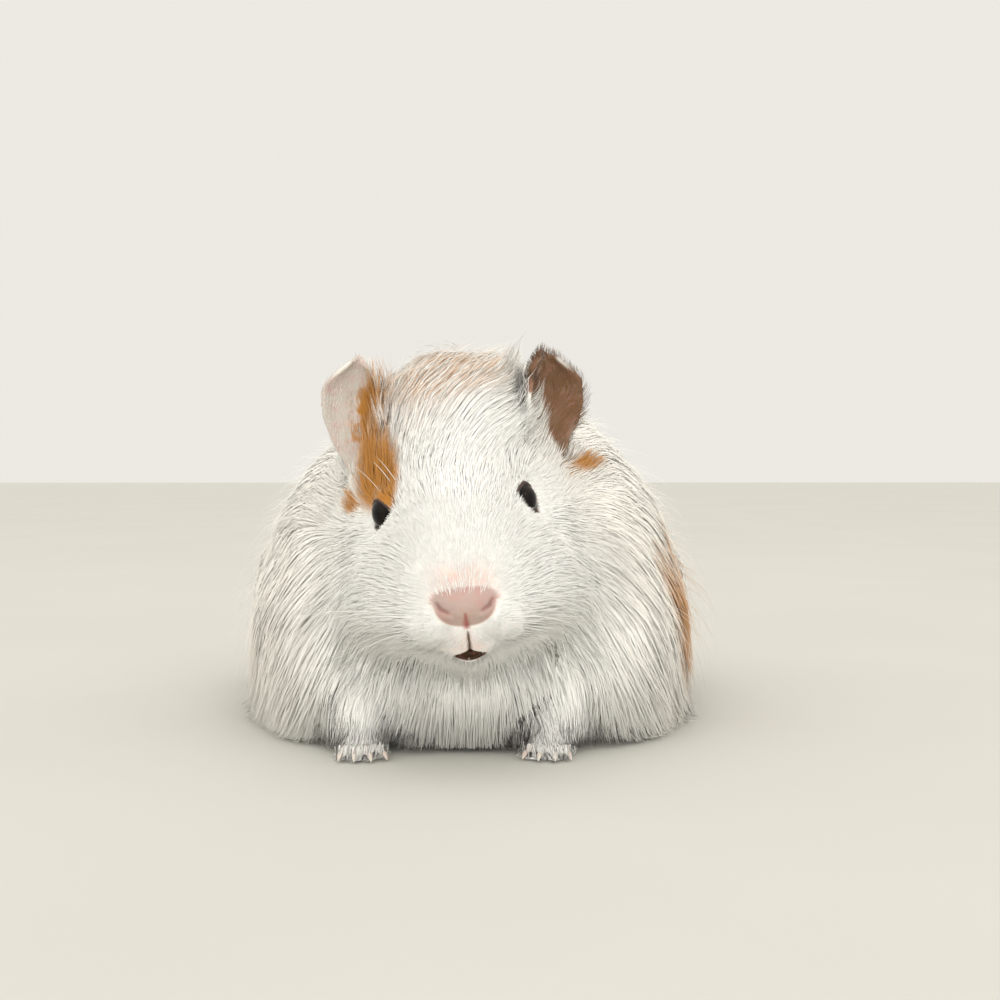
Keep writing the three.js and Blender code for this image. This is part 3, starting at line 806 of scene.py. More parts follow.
HEAD_NODES = ("muzzle", "lower_jaw", "head", "nose")
BODY_NODES = ("neck", "shoulders", "trunk", "rump", "thigh_left", "thigh_right")
LIMB_NODES = tuple(f"{limb}_{side}" for limb in ("foreleg", "forefoot", "hindfoot") for side in SIDES)
EAR_NODES = ("ear_left", "ear_right")
EYE_NODES = ("eye_left", "eye_right")
# How much each solid is grown so that it runs into its neighbours, and how far the body lies under the coat.
GRIP = 0.22
BODY_SINK = 2.5
# The skin, and what is worked out from it for the coat.
made = {}


def flesh(name, nodes, voxel, smoothings, balls=()):
    """Copies of solids, and any balls, as one smooth mesh."""
    parts = [cad_copy(node, f"{node}_flesh", GRIP) for node in nodes]
    parts += [add_ball(*ball) for ball in balls]
    whole = joined(name, parts)
    apply_modifier(whole, "REMESH", mode="VOXEL", voxel_size=voxel * MM, adaptivity=0)
    apply_modifier(whole, "SMOOTH", factor=0.5, iterations=smoothings)
    return whole


def near_face(points, eye_reach, deep, wide, low, high):
    """True round the eyes, and round the nose and mouth between the given bounds."""
    x, y, z = head_view(points).T
    to_eye = [np.linalg.norm(points - eye_frame(side)[0], axis=1) for side in SIDES.values()]
    return (np.minimum(*to_eye) < eye_reach) | ((y < deep) & (np.abs(x) < wide) & (z > low) & (z < high))


def head_flesh(fine):
    """The head under its coat, with nose, nostrils, lips and lids worked into a finer mesh."""
    core = ("neck_core", head_place([[0, 74, 58]])[0], (31, 30, 33))
    head = flesh("head_flesh", HEAD_NODES + EYE_NODES, 1.0 if fine else 1.6, 3, [core])
    points = points_of(head)
    axis = [head_place([end])[0] for end in HEAD_AXIS]
    move_points(head, drawn_in(points, axis, combing(points)[3] * (1 - nose_share(points))))
    refine(head, lambda points: near_face(points, 12, 16, 16, 24, 58))
    relax(head, 0.4, 2)
    if fine:
        refine(head, lambda points: near_face(points, 8.5, 10, 10.5, 29, 52))
        relax(head, 0.3, 2)
    points = shaped_nose(points_of(head))
    for side in SIDES.values():
        points = shaped_lids(side, points)
    move_points(head, points)
    return head


# Bent lines across the face, seen from the front.
NOSTRIL = [(7.2, 46.7), (6.2, 45.2), (4.5, 44.2)]
WING = [(7.6, 44.6), (6.2, 43.2), (4.0, 42.6)]
FURROW = [(0, 43.6), (0, 40.4)]
SLIT = [(0.2, 38.7), (0.3, 33.4)]


def groove(x, z, path):
    """The distance of points in the face's plane from a bent line, and how far along it they are."""
    best, along = np.full(len(x), 99.0), np.zeros(len(x))
    for number, (start, end) in enumerate(zip(path[:-1], path[1:])):
        run = np.subtract(end, start)
        t = np.clip(((x - start[0]) * run[0] + (z - start[1]) * run[1]) / (run @ run), 0, 1)
        gap = np.hypot(x - start[0] - t * run[0], z - start[1] - t * run[1])
        along = np.where(gap < best, (number + t) / (len(path) - 1), along)
        best = np.minimum(best, gap)
    return best, along


def shaped_nose(points):
    """Nostrils, the furrow below the nose, the split lip and the small open mouth."""
    own = head_view(points)
    x, y, z = own.T
    push = np.zeros(len(points))
    for side in (1, -1):
        gap, along = groove(x * side, z, NOSTRIL)
        push += 1.1 * np.sin(math.pi * (0.15 + 0.7 * along)) * hump(gap / 0.5)
        push -= 0.45 * hump(groove(x * side, z, WING)[0])
    gap, low = groove(x, z, FURROW)
    push += (0.4 + 0.8 * low) * hump(gap / (0.4 + 0.5 * low))
    gap, low = groove(x, z, SLIT)
    push += (0.9 + 0.9 * low) * hump(gap / (0.38 + 0.25 * low))
    push += 3.4 * mouth_share(points)
    for side in (1, -1):
        push -= 0.8 * hump(np.hypot((x * side - 2.6) / 2.2, (z - 36.4) / 3.0))
    own[:, 1] += push * (1 - ease(y, 6, 10))
    return head_place(own)


def shaped_lids(side, points):
    """Lids that hug the eyeball round its opening, with the skin under the ball inside it."""
    centre = eye_frame(side)[0]
    gap, far = lid_gap(side, points)
    rim = (EYE["radius"] - 0.9) + 1.45 * ease(gap, 0.95, 1.07) - 0.25 * ease(gap, 1.2, 1.5)
    share = (1 - ease(gap, 1.3, 2.0)) * (1 - ease(far, 9, 12))
    return mixed(points, centre + unit(points - centre) * rim[:, None], share)


def ear_flesh(name, fine):
    """A thin leaf-shaped ear, made from a grid, with a rolled rim and a nick in its edge."""
    columns, rows = (22, 30) if fine else (12, 16)
    bpy.ops.object.select_all(action="DESELECT")
    bpy.ops.mesh.primitive_grid_add(x_subdivisions=columns, y_subdivisions=rows, size=2)
    ear = bpy.context.active_object
    ear.name = f"ear_flesh_{name}"
    flat = points_of(ear) * MM
    u, h = flat[:, 0], (flat[:, 1] + 1) / 2
    sheet = ear_sheet(name, u, h)
    edge = np.abs(u)
    sheet[:, 1] -= 1.6 * ease(edge, 0.8, 1.0) * ease(h, 0.3, 0.7)
    sheet[:, 2] -= 2.4 * edge**1.5 * ease(h, 0.8, 1.0)
    sheet[:, 1] += 0.5 * np.sin(h * 9 + u * 2) * ease(h, 0.2, 0.5)
    sheet[:, 1] += 0.4 * ripple(np.stack([u * 10, h * 30, h * 0], 1), 9, 3 + SIDES[name])
    nick_at, nick_deep = EARS[name]["nick"]
    sheet[:, 0] -= hump((h - nick_at) / 0.04) * ease(u, 0.5, 1.0) * nick_deep
    turn, root = ear_pose(name)
    move_points(ear, head_place((sheet * [SIDES[name], 1, 1]) @ turn.T + root))
    if SIDES[name] < 0:
        edited(ear, bpy.ops.mesh.flip_normals)
    apply_modifier(ear, "SOLIDIFY", thickness=1.3 * MM, offset=0)
    apply_modifier(ear, "SUBSURF", levels=1, render_levels=1)
    return ear


def body_flesh(fine):
    """Neck, trunk and thighs, drawn in by the depth of the coat."""
    body = flesh("body_flesh", BODY_NODES, 2.0 if fine else 3.0, 6)
    points = points_of(body)
    move_points(body, drawn_in(points, BODY_AXIS, combing(points)[3] + BODY_SINK))
    relax(body, 0.5, 3)
    return body


def limb_flesh(fine):
    """Legs and feet, a little slimmer than their solids, with a hock behind each hind foot."""
    hocks = [("hock", (side * 53, 30, 13), (8, 10, 11)) for side in SIDES.values()]
    limbs = flesh("limb_flesh", LIMB_NODES, 0.95 if fine else 1.2, 2, hocks)
    points = points_of(limbs)
    slim = combing(points)[3] * ease(points[:, 2], 0.5, 3)
    move_points(limbs, points - normals_of(limbs) * np.minimum(slim, 2.5)[:, None])
    relax(limbs, 0.4, 2)
    rest_on_floor(limbs)
    return limbs


# Colours painted on the face. The dark tones of the nostrils, the slit in the lip and the open mouth are
# painted shade in those hollows.
FACE_TONES_AND_SHADE = {
    "lid": (0.045, 0.035, 0.03), "nose_middle": (0.53, 0.42, 0.35), "nostril": (0.30, 0.15, 0.135),
    "furrow": (0.40, 0.11, 0.09), "slit": (0.07, 0.045, 0.02), "mouth": (0.05, 0.032, 0.013),
}


def skin_colour(points, settings):
    """Pink where bare, the coat's colour painted darker as shade under hair, and shade painted in hollows.
    """
    x, y, z = head_view(points).T
    front = y < 12
    pink = mixed(settings.nose_pink, settings.skin_pink, 1 - nose_share(points))
    # Where hair covers it, the skin takes the coat's colour painted 8% darker, as shade beneath the coat.
    colour = mixed(coat_colour(points, settings) * 0.92, pink, bare_share(points))
    for name, tone in (("right", settings.ear_pink), ("left", settings.ear_brown)):
        colour = mixed(colour, tone, bare_ear(name, points))
    for side in SIDES.values():
        gap, far = lid_gap(side, points)
        colour = mixed(colour, FACE_TONES_AND_SHADE["lid"], (1 - ease(gap, 1.1, 1.25)) * (far < LID_REACH))
    middle = hump(x / 3.4, (z - 43.2) / 2.6) * nose_share(points)
    colour = mixed(colour, FACE_TONES_AND_SHADE["nose_middle"], 0.6 * middle)
    # The nostrils' creases are painted darker: painted shade in the hollows.
    for side in SIDES.values():
        gap, _ = groove(x * side, z, NOSTRIL)
        colour = mixed(colour, FACE_TONES_AND_SHADE["nostril"], 0.6 * hump(gap / 0.45) * front)
    gap, low = groove(x, z, FURROW)
    colour = mixed(colour, FACE_TONES_AND_SHADE["furrow"], 0.85 * hump(gap / (0.3 + 0.6 * low)) * front)
    # The slit of the lip is painted near-black: painted shade in the cleft.
    gap, low = groove(x, z, SLIT)
    colour = mixed(colour, FACE_TONES_AND_SHADE["slit"], 0.95 * hump(gap / (0.34 + 0.22 * low)) * front)
    # The open mouth is painted near-black: painted shade inside the pushed-in opening.
    return mixed(colour, FACE_TONES_AND_SHADE["mouth"], mouth_share(points))


def make_skin(settings):
    """One painted skin from the solids of flesh, relaxed where the head runs into the neck."""
    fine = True
    skin = body_flesh(fine)
    for part in (limb_flesh(fine), head_flesh(fine), *(ear_flesh(name, fine) for name in SIDES)):
        apply_modifier(skin, "BOOLEAN", operation="UNION", solver="MANIFOLD", object=part)
        bpy.data.objects.remove(part)
    joined("skin", [skin])
    bpy.ops.object.shade_smooth()
    points = points_of(skin)
    _, depth, _ = head_view(points).T
    seam = ease(depth, 36, 48) * (1 - ease(depth, 84, 96)) * (points[:, 2] > 14)
    for name in SIDES:
        _, h, _ = ear_view(name, points)
        to_ear = np.linalg.norm(points - ear_place(name, 0, 0.4), axis=1)
        seam *= np.where(to_ear < 34, 1 - ease(h, -0.1, 0.02), 1)
    relax(skin, 0.6 * seam, 14)
    points = points_of(skin)
    paint(skin, "tint", skin_colour(points, settings))
    paint(skin, "bare", bare_share(points)[:, None])
    made["skin"] = finish_piece(
        skin, skin_material(), "white_coat", *HEAD_NODES, *BODY_NODES, *LIMB_NODES, *EAR_NODES
    )


# ---- eyes and claws ----

PUPIL = (0.005, 0.004, 0.004)
CLAW_TIP, CLAW_ROOT = (0.74, 0.68, 0.60), (0.66, 0.52, 0.46)


def make_eye(name, settings):
    """A wet eyeball with a slightly fuller cornea, dark with a faint iris round the pupil."""
    centre, out, _, _ = eye_frame(SIDES[name])
    eye = add_ball(f"eyeball_{name}", centre, (EYE["radius"],) * 3, 48, 32)
    apply_modifier(eye, "SUBSURF", levels=1, render_levels=1)
    away = unit(points_of(eye) - centre)
    front = away @ out
    move_points(eye, centre + away * (EYE["radius"] + 0.35 * ease(front, 0.55, 0.95))[:, None])
    bpy.ops.object.shade_smooth()
    iris = ease(front, 0.72, 0.8) * (1 - ease(front, 0.86, 0.94))
    paint(eye, "tint", mixed(PUPIL, settings.iris, iris))
    finish_piece(eye, eye_material(), "eye", f"eye_{name}")


def make_claws(foot, count, material):
    """The claws of one foot, smoothed from their solids."""
    nodes = [f"{foot}_claw_{number + 1}" for number in range(count)]
    claws = joined(f"{foot}_claws", [cad_copy(node, f"{node}_copy", 0.1) for node in nodes])
    apply_modifier(claws, "SUBSURF", levels=2, render_levels=2)
    points = rest_on_floor(claws)
    bpy.ops.object.shade_smooth()
    along = points[:, 1]
    paint(claws, "tint", mixed(CLAW_TIP, CLAW_ROOT, ease(along, along.min(), along.max())))
    paint(claws, "bare", np.full((len(points), 1), 0.08))
    finish_piece(claws, material, "claw", *nodes)


# ---- coat ----

BASE_SEED = 11
# The most triangles in a piece of the coat, and the size of a tuft's patch on the bake's map.
TRIANGLE_LIMIT = 198000
PATCH = 0.003
# How thick a tuft is for its width, how much of its own roundness shows in its shading, and how many
# rounds even out the skin's lumps for that shading.
FLATNESS = 0.22
SPOKE_SHARE = 0.12
EVENING_ROUNDS = 70
# A tuft's length and height against its neighbours', where it stands off as a wisp.
WISP = {"length": 1.2, "height": 0.8}
# How closely each piece of coat is sown against the usual, the steps of its tufts from root to tip,
# how far they gather in locks, the share of fine wisps that stand off, and how broad a tuft is.
SOWING = {
    "coat_nose": (1.3, 2, 0.1, 0.03, 1), "coat_muzzle": (1.5, 3, 0.25, 0.16, 1.2),
    "coat_brow": (1.6, 3, 0.1, 0.03, 1.6), "coat_crown": (1.7, 4, 0.3, 0.14, 1.5),
    "coat_temple": (1.7, 4, 0.35, 0.1, 1.1), "coat_cheek_left": (1.2, 3, 0.3, 0.15, 1.2),
    "coat_cheek_right": (1.2, 3, 0.3, 0.15, 1.2), "coat_throat": (1, 3, 0.3, 0.05, 1.3),
    "coat_ear_left": (1, 2, 0.3, 0.06, 1), "coat_ear_right": (1, 2, 0.3, 0.05, 1),
    "coat_chest": (1.5, 4, 0, 0.02, 2.6), "coat_ruff": (1.75, 4, 0, 0.025, 2.6),
    "coat_shoulder": (1.8, 4, 0, 0.025, 2.6), "coat_back": (1.4, 3, 0, 0.04, 2.6),
    "coat_flank": (1.2, 3, 0, 0.04, 2.6), "coat_rump": (1.1, 3, 0, 0.04, 2.6),
    "coat_belly": (0.2, 3, 0.2, 0.03, 2), "coat_legs": (1.2, 2, 0.2, 0.04, 1.6),
}
# The greyed tips' colour: partly the hair's own darker tips, partly painted shade.
GREY_TIP_AND_SHADE = (0.22, 0.21, 0.20)
WHISKER_TONE = (0.85, 0.83, 0.78)


def coat_density(points, lengths, piece):
    """Tufts on each square millimetre of skin: close where the hair is short, and none where it is bare."""
    density = 3.1 * (3.2 / np.maximum(lengths, 3.2)) ** 0.82
    density *= np.array([SOWING[name][0] for name in COAT_NAMES])[piece]
    x, y, z = head_view(points).T
    density *= 1 - nose_share(points) * (1 - 0.8 * ease(z, 47.6, 50.0))
    density *= 1 - 0.45 * above_nose(points)
    density *= 1 - np.clip(mouth_share(points) * 2, 0, 1)
    density *= 1 - 0.85 * near_mouth(points)
    density *= np.where(y < 8, ease(groove(x, z, SLIT)[0], 0.35, 0.8), 1)
    for side in SIDES.values():
        gap, far = lid_gap(side, points)
        density *= np.where(far < LID_REACH + 0.2, ease(gap, 1.08, 1.2), 1)
    return density * (1 - 0.6 * bare_ear("right", points))


def evened_normals(points, corners):
    """The skin's normals without its small lumps: evened most on the body, and hardly on the thin ears."""
    normals = normals_of(made["skin"])
    sides = np.sort(np.concatenate([corners[:, [0, 1]], corners[:, [1, 2]], corners[:, [2, 0]]]), 1)
    a, b = np.unique(sides, axis=0).T
    count = neighbour_sum(a, b, np.ones((len(points), 1)))
    share = 0.15 + 0.85 * ease(points[:, 1], HEAD_START + 34, HEAD_START + 60)
    share *= 1 - 0.95 * np.maximum(ear_share("left", points), ear_share("right", points))
    for _ in range(EVENING_ROUNDS):
        normals = unit(mixed(normals, neighbour_sum(a, b, normals) / count, share))
    return normals


def sow():
    """Roots over the whole skin, each with its face, and what the coat is combed and shaded by."""
    skin = made["skin"]
    rng = np.random.default_rng(BASE_SEED)
    skin.data.calc_loop_triangles()
    points, corners = points_of(skin), read(skin.data.loop_triangles, "vertices", 3, np.int32)
    a, b, c = (points[corners[:, i]] for i in range(3))
    area = np.linalg.norm(np.cross(b - a, c - a), axis=1) / 2
    middle = (a + b + c) / 3
    _, lengths, _, _, piece = combing(middle)
    wanted = area * coat_density(middle, lengths, piece) * 1
    number = np.floor(wanted + rng.random(len(wanted))).astype(int)
    face = np.repeat(np.arange(len(area)), number)
    one, two = rng.random((2, len(face), 1))
    over = one + two > 1
    one, two = np.where(over, 1 - one, one), np.where(over, 1 - two, two)
    roots = a[face] + (b - a)[face] * one + (c - a)[face] * two
    both = normals_of(skin), evened_normals(points, corners)
    made["normals"] = np.stack([unit(normals[corners].mean(1)) for normals in both])
    made["tree"] = BVHTree.FromPolygons(points.tolist(), corners.tolist())
    made["skin_faces"] = (points, corners, piece)
    made["roots"] = (roots, face)


def over_skin(points):
    """The nearest place on the skin to each point, and two normals there: the skin's own, and evened."""
    found = [made["tree"].find_nearest(point) for point in points.tolist()]
    return np.array([hit[0] for hit in found]), made["normals"][:, [hit[2] for hit in found]]


def comb_tufts(roots, normals, lengths, heights, steps, rng):
    """Walks each tuft over the skin as the coat lies: its points, root to tip, and two normals at each."""
    here = roots - normals[0] * 0.25
    rows, facing = [here], []
    step = (lengths / steps)[:, None]
    reach = heights * rng.uniform(0.95, 1.0, len(roots))
    swerve = rng.normal(0, 0.05, (len(roots), 3))
    for number in range(1, steps + 1):
        t = number / steps
        place, pair = (roots, normals) if number == 1 else over_skin(here)
        facing.append(pair)
        outward = pair[0]
        way = unit(combing(here)[0] + swerve)
        above = dot(here - place, outward)[:, 0]
        want = reach * (1 - (1 - t) ** 2.4)
        rise = np.clip(want - above, -0.3 * step[:, 0], 0.85 * step[:, 0])
        along = unit(way - outward * np.minimum(dot(way, outward), 0))
        here = here + unit(along * step + outward * rise[:, None]) * step
        here[:, 2] = np.maximum(here[:, 2], 0.5 + 0.6 * t)
        rows.append(here)
    return np.stack(rows, 1), np.stack(facing + facing[-1:], 2)


def gather(paths, spacing, strength, rng):
    """Draws tufts towards the tuft in the middle of their lock, more and more to the tip."""
    count = len(paths)
    chosen = rng.permutation(count)[: max(1, int(count / spacing))]
    tree = KDTree(len(chosen))
    for number, index in enumerate(chosen):
        tree.insert(paths[index, 0], number)
    tree.balance()
    lock = np.array([tree.find(root)[1] for root in paths[:, 0].tolist()])
    leader = paths[chosen[lock]]
    spread = (paths[:, :1] - leader[:, :1]) * 0.25
    t = np.linspace(0, 1, paths.shape[1])[None, :, None] ** 1.4
    pull = strength * rng.uniform(0.25, 1.0, (count, 1, 1)) * t
    return paths + (leader + spread - paths) * pull, lock


def at_corners(values):
    """A value for each ring repeated at the ring's three points, with the tip's at the end."""
    return np.concatenate([np.repeat(values[:, :-1], 3, 1), values[:, -1:]], 1)


def tuft_mesh(name, paths, widths, facing, colours, patch_uv):
    """Closed tufts as one mesh: three-sided, flat below with a low ridge outward, broadest near the root.

    A tuft stands on the first of its two sets of normals and is shaded mostly by the second. Each has one
    small patch of the bake's map.
    """
    outward, shading = facing
    count, rings = paths.shape[0], paths.shape[1] - 1
    ahead = unit(np.gradient(paths, axis=1))
    side = unit(np.cross(ahead, outward))
    lift = np.cross(ahead, side)
    t = np.linspace(0, 1, rings + 1)[:-1]
    taper = (np.minimum(1, 0.6 + 2.5 * t) * (1 - t) ** 0.5)[:, None, None] * widths[:, None, None, None] / 2
    angle = np.radians([270, 30, 150])[None, None, :, None]
    spoke = np.cos(angle) * side[:, :-1, None] + FLATNESS * np.sin(angle) * lift[:, :-1, None]
    ring = paths[:, :-1, None] + spoke * taper
    each = rings * 3 + 1
    points = np.concatenate([ring.reshape(count, -1, 3), paths[:, -1:]], 1)
    soft = np.concatenate([unit(spoke).reshape(count, -1, 3), ahead[:, -1:] * 0.3], 1)
    soft = unit(soft * SPOKE_SHARE + at_corners(shading))

    faces, map_u, map_v = [(0, 2, 1)], [(0.3, 1.3, 2.3)], [(0.0, 0.3, 0.0)]
    for number in range(rings):
        low, high = number * 3, number * 3 + 3
        for j in range(3):
            k = (j + 1) % 3
            if number < rings - 1:
                faces += [(low + j, low + k, high + k), (low + j, high + k, high + j)]
                map_u += [(j, j + 1, j + 1), (j, j + 1, j)]
                map_v += [(number, number, number + 1), (number, number + 1, number + 1)]
            else:
                faces.append((low + j, low + k, each - 1))
                map_u.append((j, j + 1, j + 0.5))
                map_v.append((number, number, number + 1))
    faces = np.array(faces)
    corners = (faces[None] + (np.arange(count) * each)[:, None, None]).reshape(-1)
    offset = np.stack([np.array(map_u) / 3 - 0.5, np.array(map_v) / rings - 0.5], 2) * PATCH
    corner_uv = (patch_uv[:, None, None] + offset[None]).reshape(-1, 2)

    mesh = bpy.data.meshes.new(name)
    total = count * len(faces)
    mesh.vertices.add(count * each)
    mesh.vertices.foreach_set("co", (points.reshape(-1) * MM).astype(np.float32))
    mesh.loops.add(total * 3)
    mesh.loops.foreach_set("vertex_index", corners.astype(np.int32))
    mesh.polygons.add(total)
    mesh.polygons.foreach_set("loop_start", np.arange(0, total * 3, 3, dtype=np.int32))
    mesh.update(calc_edges=True)
    mesh.polygons.foreach_set("use_smooth", np.ones(total, bool))
    layer = mesh.uv_layers.new(name="OFBake")
    layer.data.foreach_set("uv", corner_uv.astype(np.float32).ravel())
    piece = placed(name, mesh)
    paint(piece, "tint", at_corners(colours).reshape(-1, 3))
    normal = mesh.attributes.new("custom_normal", "FLOAT_VECTOR", "POINT")
    normal.data.foreach_set("vector", soft.astype(np.float32).ravel())
    return piece


def unwrapped(number, roots):
    """Each root's place on an unwrap of the piece's own stretch of skin."""
    points, corners, piece = made["skin_faces"]
    own = corners[piece == number]
    used, index = np.unique(own, return_inverse=True)
    mesh = bpy.data.meshes.new("unwrap")
    mesh.from_pydata((points[used] * MM).tolist(), [], index.reshape(-1, 3).tolist())
    proxy = placed("unwrap", mesh)
    apply_modifier(proxy, "DECIMATE", ratio=min(1.0, 1400 / max(len(own), 1)))
    edited(
        proxy,
        bpy.ops.mesh.quads_convert_to_tris,
        lambda: bpy.ops.uv.smart_project(angle_limit=math.radians(70), island_margin=0.012),
    )
    place, faces = points_of(proxy), np.array([list(face.vertices) for face in proxy.data.polygons])
    corner_uv = read(proxy.data.uv_layers.active.data, "uv", 2).reshape(-1, 3, 2).astype(float)
    tree = BVHTree.FromPolygons(place.tolist(), faces.tolist())
    hits = [tree.find_nearest(root) for root in roots.tolist()]
    spot, face = np.array([hit[0] for hit in hits]), np.array([hit[2] for hit in hits])
    a, b, c = (place[faces[face, i]] for i in range(3))
    ab, ac, ap = b - a, c - a, spot - a
    d00, d01, d11 = dot(ab, ab), dot(ab, ac), dot(ac, ac)
    d20, d21 = dot(ap, ab), dot(ap, ac)
    below = np.maximum(d00 * d11 - d01 * d01, 1e-12)
    v, w = (d11 * d20 - d01 * d21) / below, (d00 * d21 - d01 * d20) / below
    v, w = np.clip(v, 0, 1), np.clip(w, 0, 1)
    uv = corner_uv[face, 0] * (1 - v - w) + corner_uv[face, 1] * v + corner_uv[face, 2] * w
    bpy.data.objects.remove(proxy)
    return np.clip(uv, PATCH, 1 - PATCH)


def tuft_colours(roots, steps, settings, rng):
    """Each tuft's colour from root to tip, a little different from its neighbours', with painted shade at
    the root.
    """
    t = np.linspace(0, 1, steps + 1)[None, :, None]
    # Each tuft's tone varies a little at random, and is painted 3% darker at the root, rising to 1% lighter
    # at the tip, as shade deep in the coat.
    shade = rng.normal(1, 0.014, (len(roots), 1, 1)) * (0.97 + 0.04 * t)
    colours = coat_colour(roots, settings)[:, None] * shade
    warm = patches(roots, BROWN_TIPS, 0.5) * (rng.random(len(roots)) < 0.75)
    # Near the dark ear some tips are greyed, partly as their own darker tips and partly as painted shade.
    greyed_and_shaded = patches(roots, TIPS_GREYED_AND_SHADED, 0.5) * (rng.random(len(roots)) < 0.35)
    end = ease(t, 0.25, 0.9)
    colours = mixed(colours, settings.ginger, end * 0.95 * warm[:, None, None])
    return np.clip(mixed(colours, GREY_TIP_AND_SHADE, end * 0.75 * greyed_and_shaded[:, None, None]), 0, 0.97)


def make_coat(name, settings):
    """One piece of the coat: its tufts are sown, combed, gathered in locks and made a mesh."""
    number = COAT_NAMES.index(name)
    rng = np.random.default_rng(BASE_SEED + 101 * number)
    _, steps, locks, wisps, breadth = SOWING[name]
    roots, face = made["roots"]
    own = np.flatnonzero(made["skin_faces"][2][face] == number)
    room = TRIANGLE_LIMIT // (6 * steps - 2)
    if len(own) > room:
        own = own[rng.permutation(len(own))[:room]]
    roots, normals = roots[own], made["normals"][:, face[own]]
    _, lengths, heights, depths, _ = combing(roots)
    near = np.maximum(near_lids(roots), near_mouth(roots))
    lengths = lengths * settings.length * rng.uniform(0.72, 1.12, len(roots)) * (1 - 0.72 * near)
    heights = heights * (1 - 0.7 * near)
    stray = rng.random(len(roots)) < wisps
    lengths = np.where(stray, lengths * WISP["length"], lengths)
    heights = np.where(stray, heights * rng.uniform(0.25, WISP["height"], len(roots)), depths + 0.2)
    widths = (0.12 + 0.036 * np.sqrt(lengths)) * settings.thickness * rng.uniform(0.75, 1.2, len(roots))
    widths = widths * np.where(stray, 0.6, breadth) / 1
    paths, facing = comb_tufts(roots, normals, lengths, heights, steps, rng)
    strength = locks * settings.locks * ease(lengths, 2, 14)[:, None, None]
    paths, lock = gather(paths, 9, strength, rng)
    phase = rng.uniform(0, 2 * math.pi, lock.max() + 1)[lock][:, None]
    t = np.linspace(0, 1, steps + 1)[None]
    across = unit(np.cross(paths[:, -1] - paths[:, 0], normals[0]))[:, None]
    wave = np.sin(phase + t * 4.2) * t * 0.025 * np.minimum(lengths, 12)[:, None]
    paths = paths + across * wave[..., None]
    paths[..., 2] = np.maximum(paths[..., 2], 0.35)
    colours = tuft_colours(roots, steps, settings, rng)
    piece = tuft_mesh(name, paths, widths, facing, colours, unwrapped(number, roots))
    finish_piece(piece, hair_material(), "white_coat")


def make_whiskers(settings):
    """Fine whiskers from the pads beside the nose, and a few above each eye."""
    rng = np.random.default_rng(BASE_SEED + 7)
    roots, ways, lengths = [], [], []
    for side in SIDES.values():
        for row in range(4):
            for place in range(4):
                roots.append((side * (11.5 + 1.6 * place), 5.5 + 2.4 * place, 43.5 - 2.8 * row))
                ways.append((side * 1.0, 0.35 + 0.1 * place, 0.28 - 0.28 * row))
                lengths.append(settings.whisker * (0.62 + 0.13 * place))
        for place in range(3):
            roots.append((side * (17 + 1.5 * place), 31 + 2 * place, 78))
            ways.append((side * 0.5, 0.2, 0.8))
            lengths.append(settings.whisker * 0.5)
    count = len(roots)
    roots = head_place(np.array(roots, float) + rng.normal(0, 0.5, (count, 3)))
    ways = unit(head_turn(np.array(ways) + rng.normal(0, 0.12, (count, 3))))
    spot, (outward, _) = over_skin(roots)
    t = np.linspace(0, 1, 9)[None, :, None]
    lengths = np.array(lengths)[:, None, None] * rng.uniform(0.8, 1.1, (count, 1, 1))
    droop = np.array([0, 0.25, -0.22]) * lengths * t * t
    paths = (spot - outward * 0.4)[:, None] + ways[:, None] * lengths * t + droop
    colours = np.tile(WHISKER_TONE, (count, 9, 1))
    patch_uv = np.stack([np.linspace(0.05, 0.95, count), np.full(count, 0.5)], 1)
    facing = np.broadcast_to(outward[:, None], (2, count, 9, 3))
    whiskers = tuft_mesh("whiskers", paths, np.full(count, 0.24), facing, colours, patch_uv)
    finish_piece(whiskers, hair_material("Whisker"), "white_coat")


# ---- stage ----

# Each lamp's place, the width of its square and its power. All are turned to the middle of the animal.
LAMPS = {
    "window": ((-0.5, -1.0, 1.2), 0.9, 1.3),
    "side_window": ((0.75, -0.6, 0.85), 0.12, 0.5),
    "ceiling": ((0.1, 0.1, 1.3), 1.2, 1.5),
    "fill": ((0.1, -1.0, 0.1), 0.6, 2.2),
}
LAMP_AIM = (0, 0, 0.06)
CAMERA = {"lens": 54, "place": (0, -0.5016, 0.083), "look": (0.0193, 1, -0.0267)}


def turned_to(piece, place, way):
    """Puts a lamp or a camera at a place, looking along a way."""
    piece.location = place
    piece.rotation_euler = Vector(way).to_track_quat("-Z", "Y").to_euler()


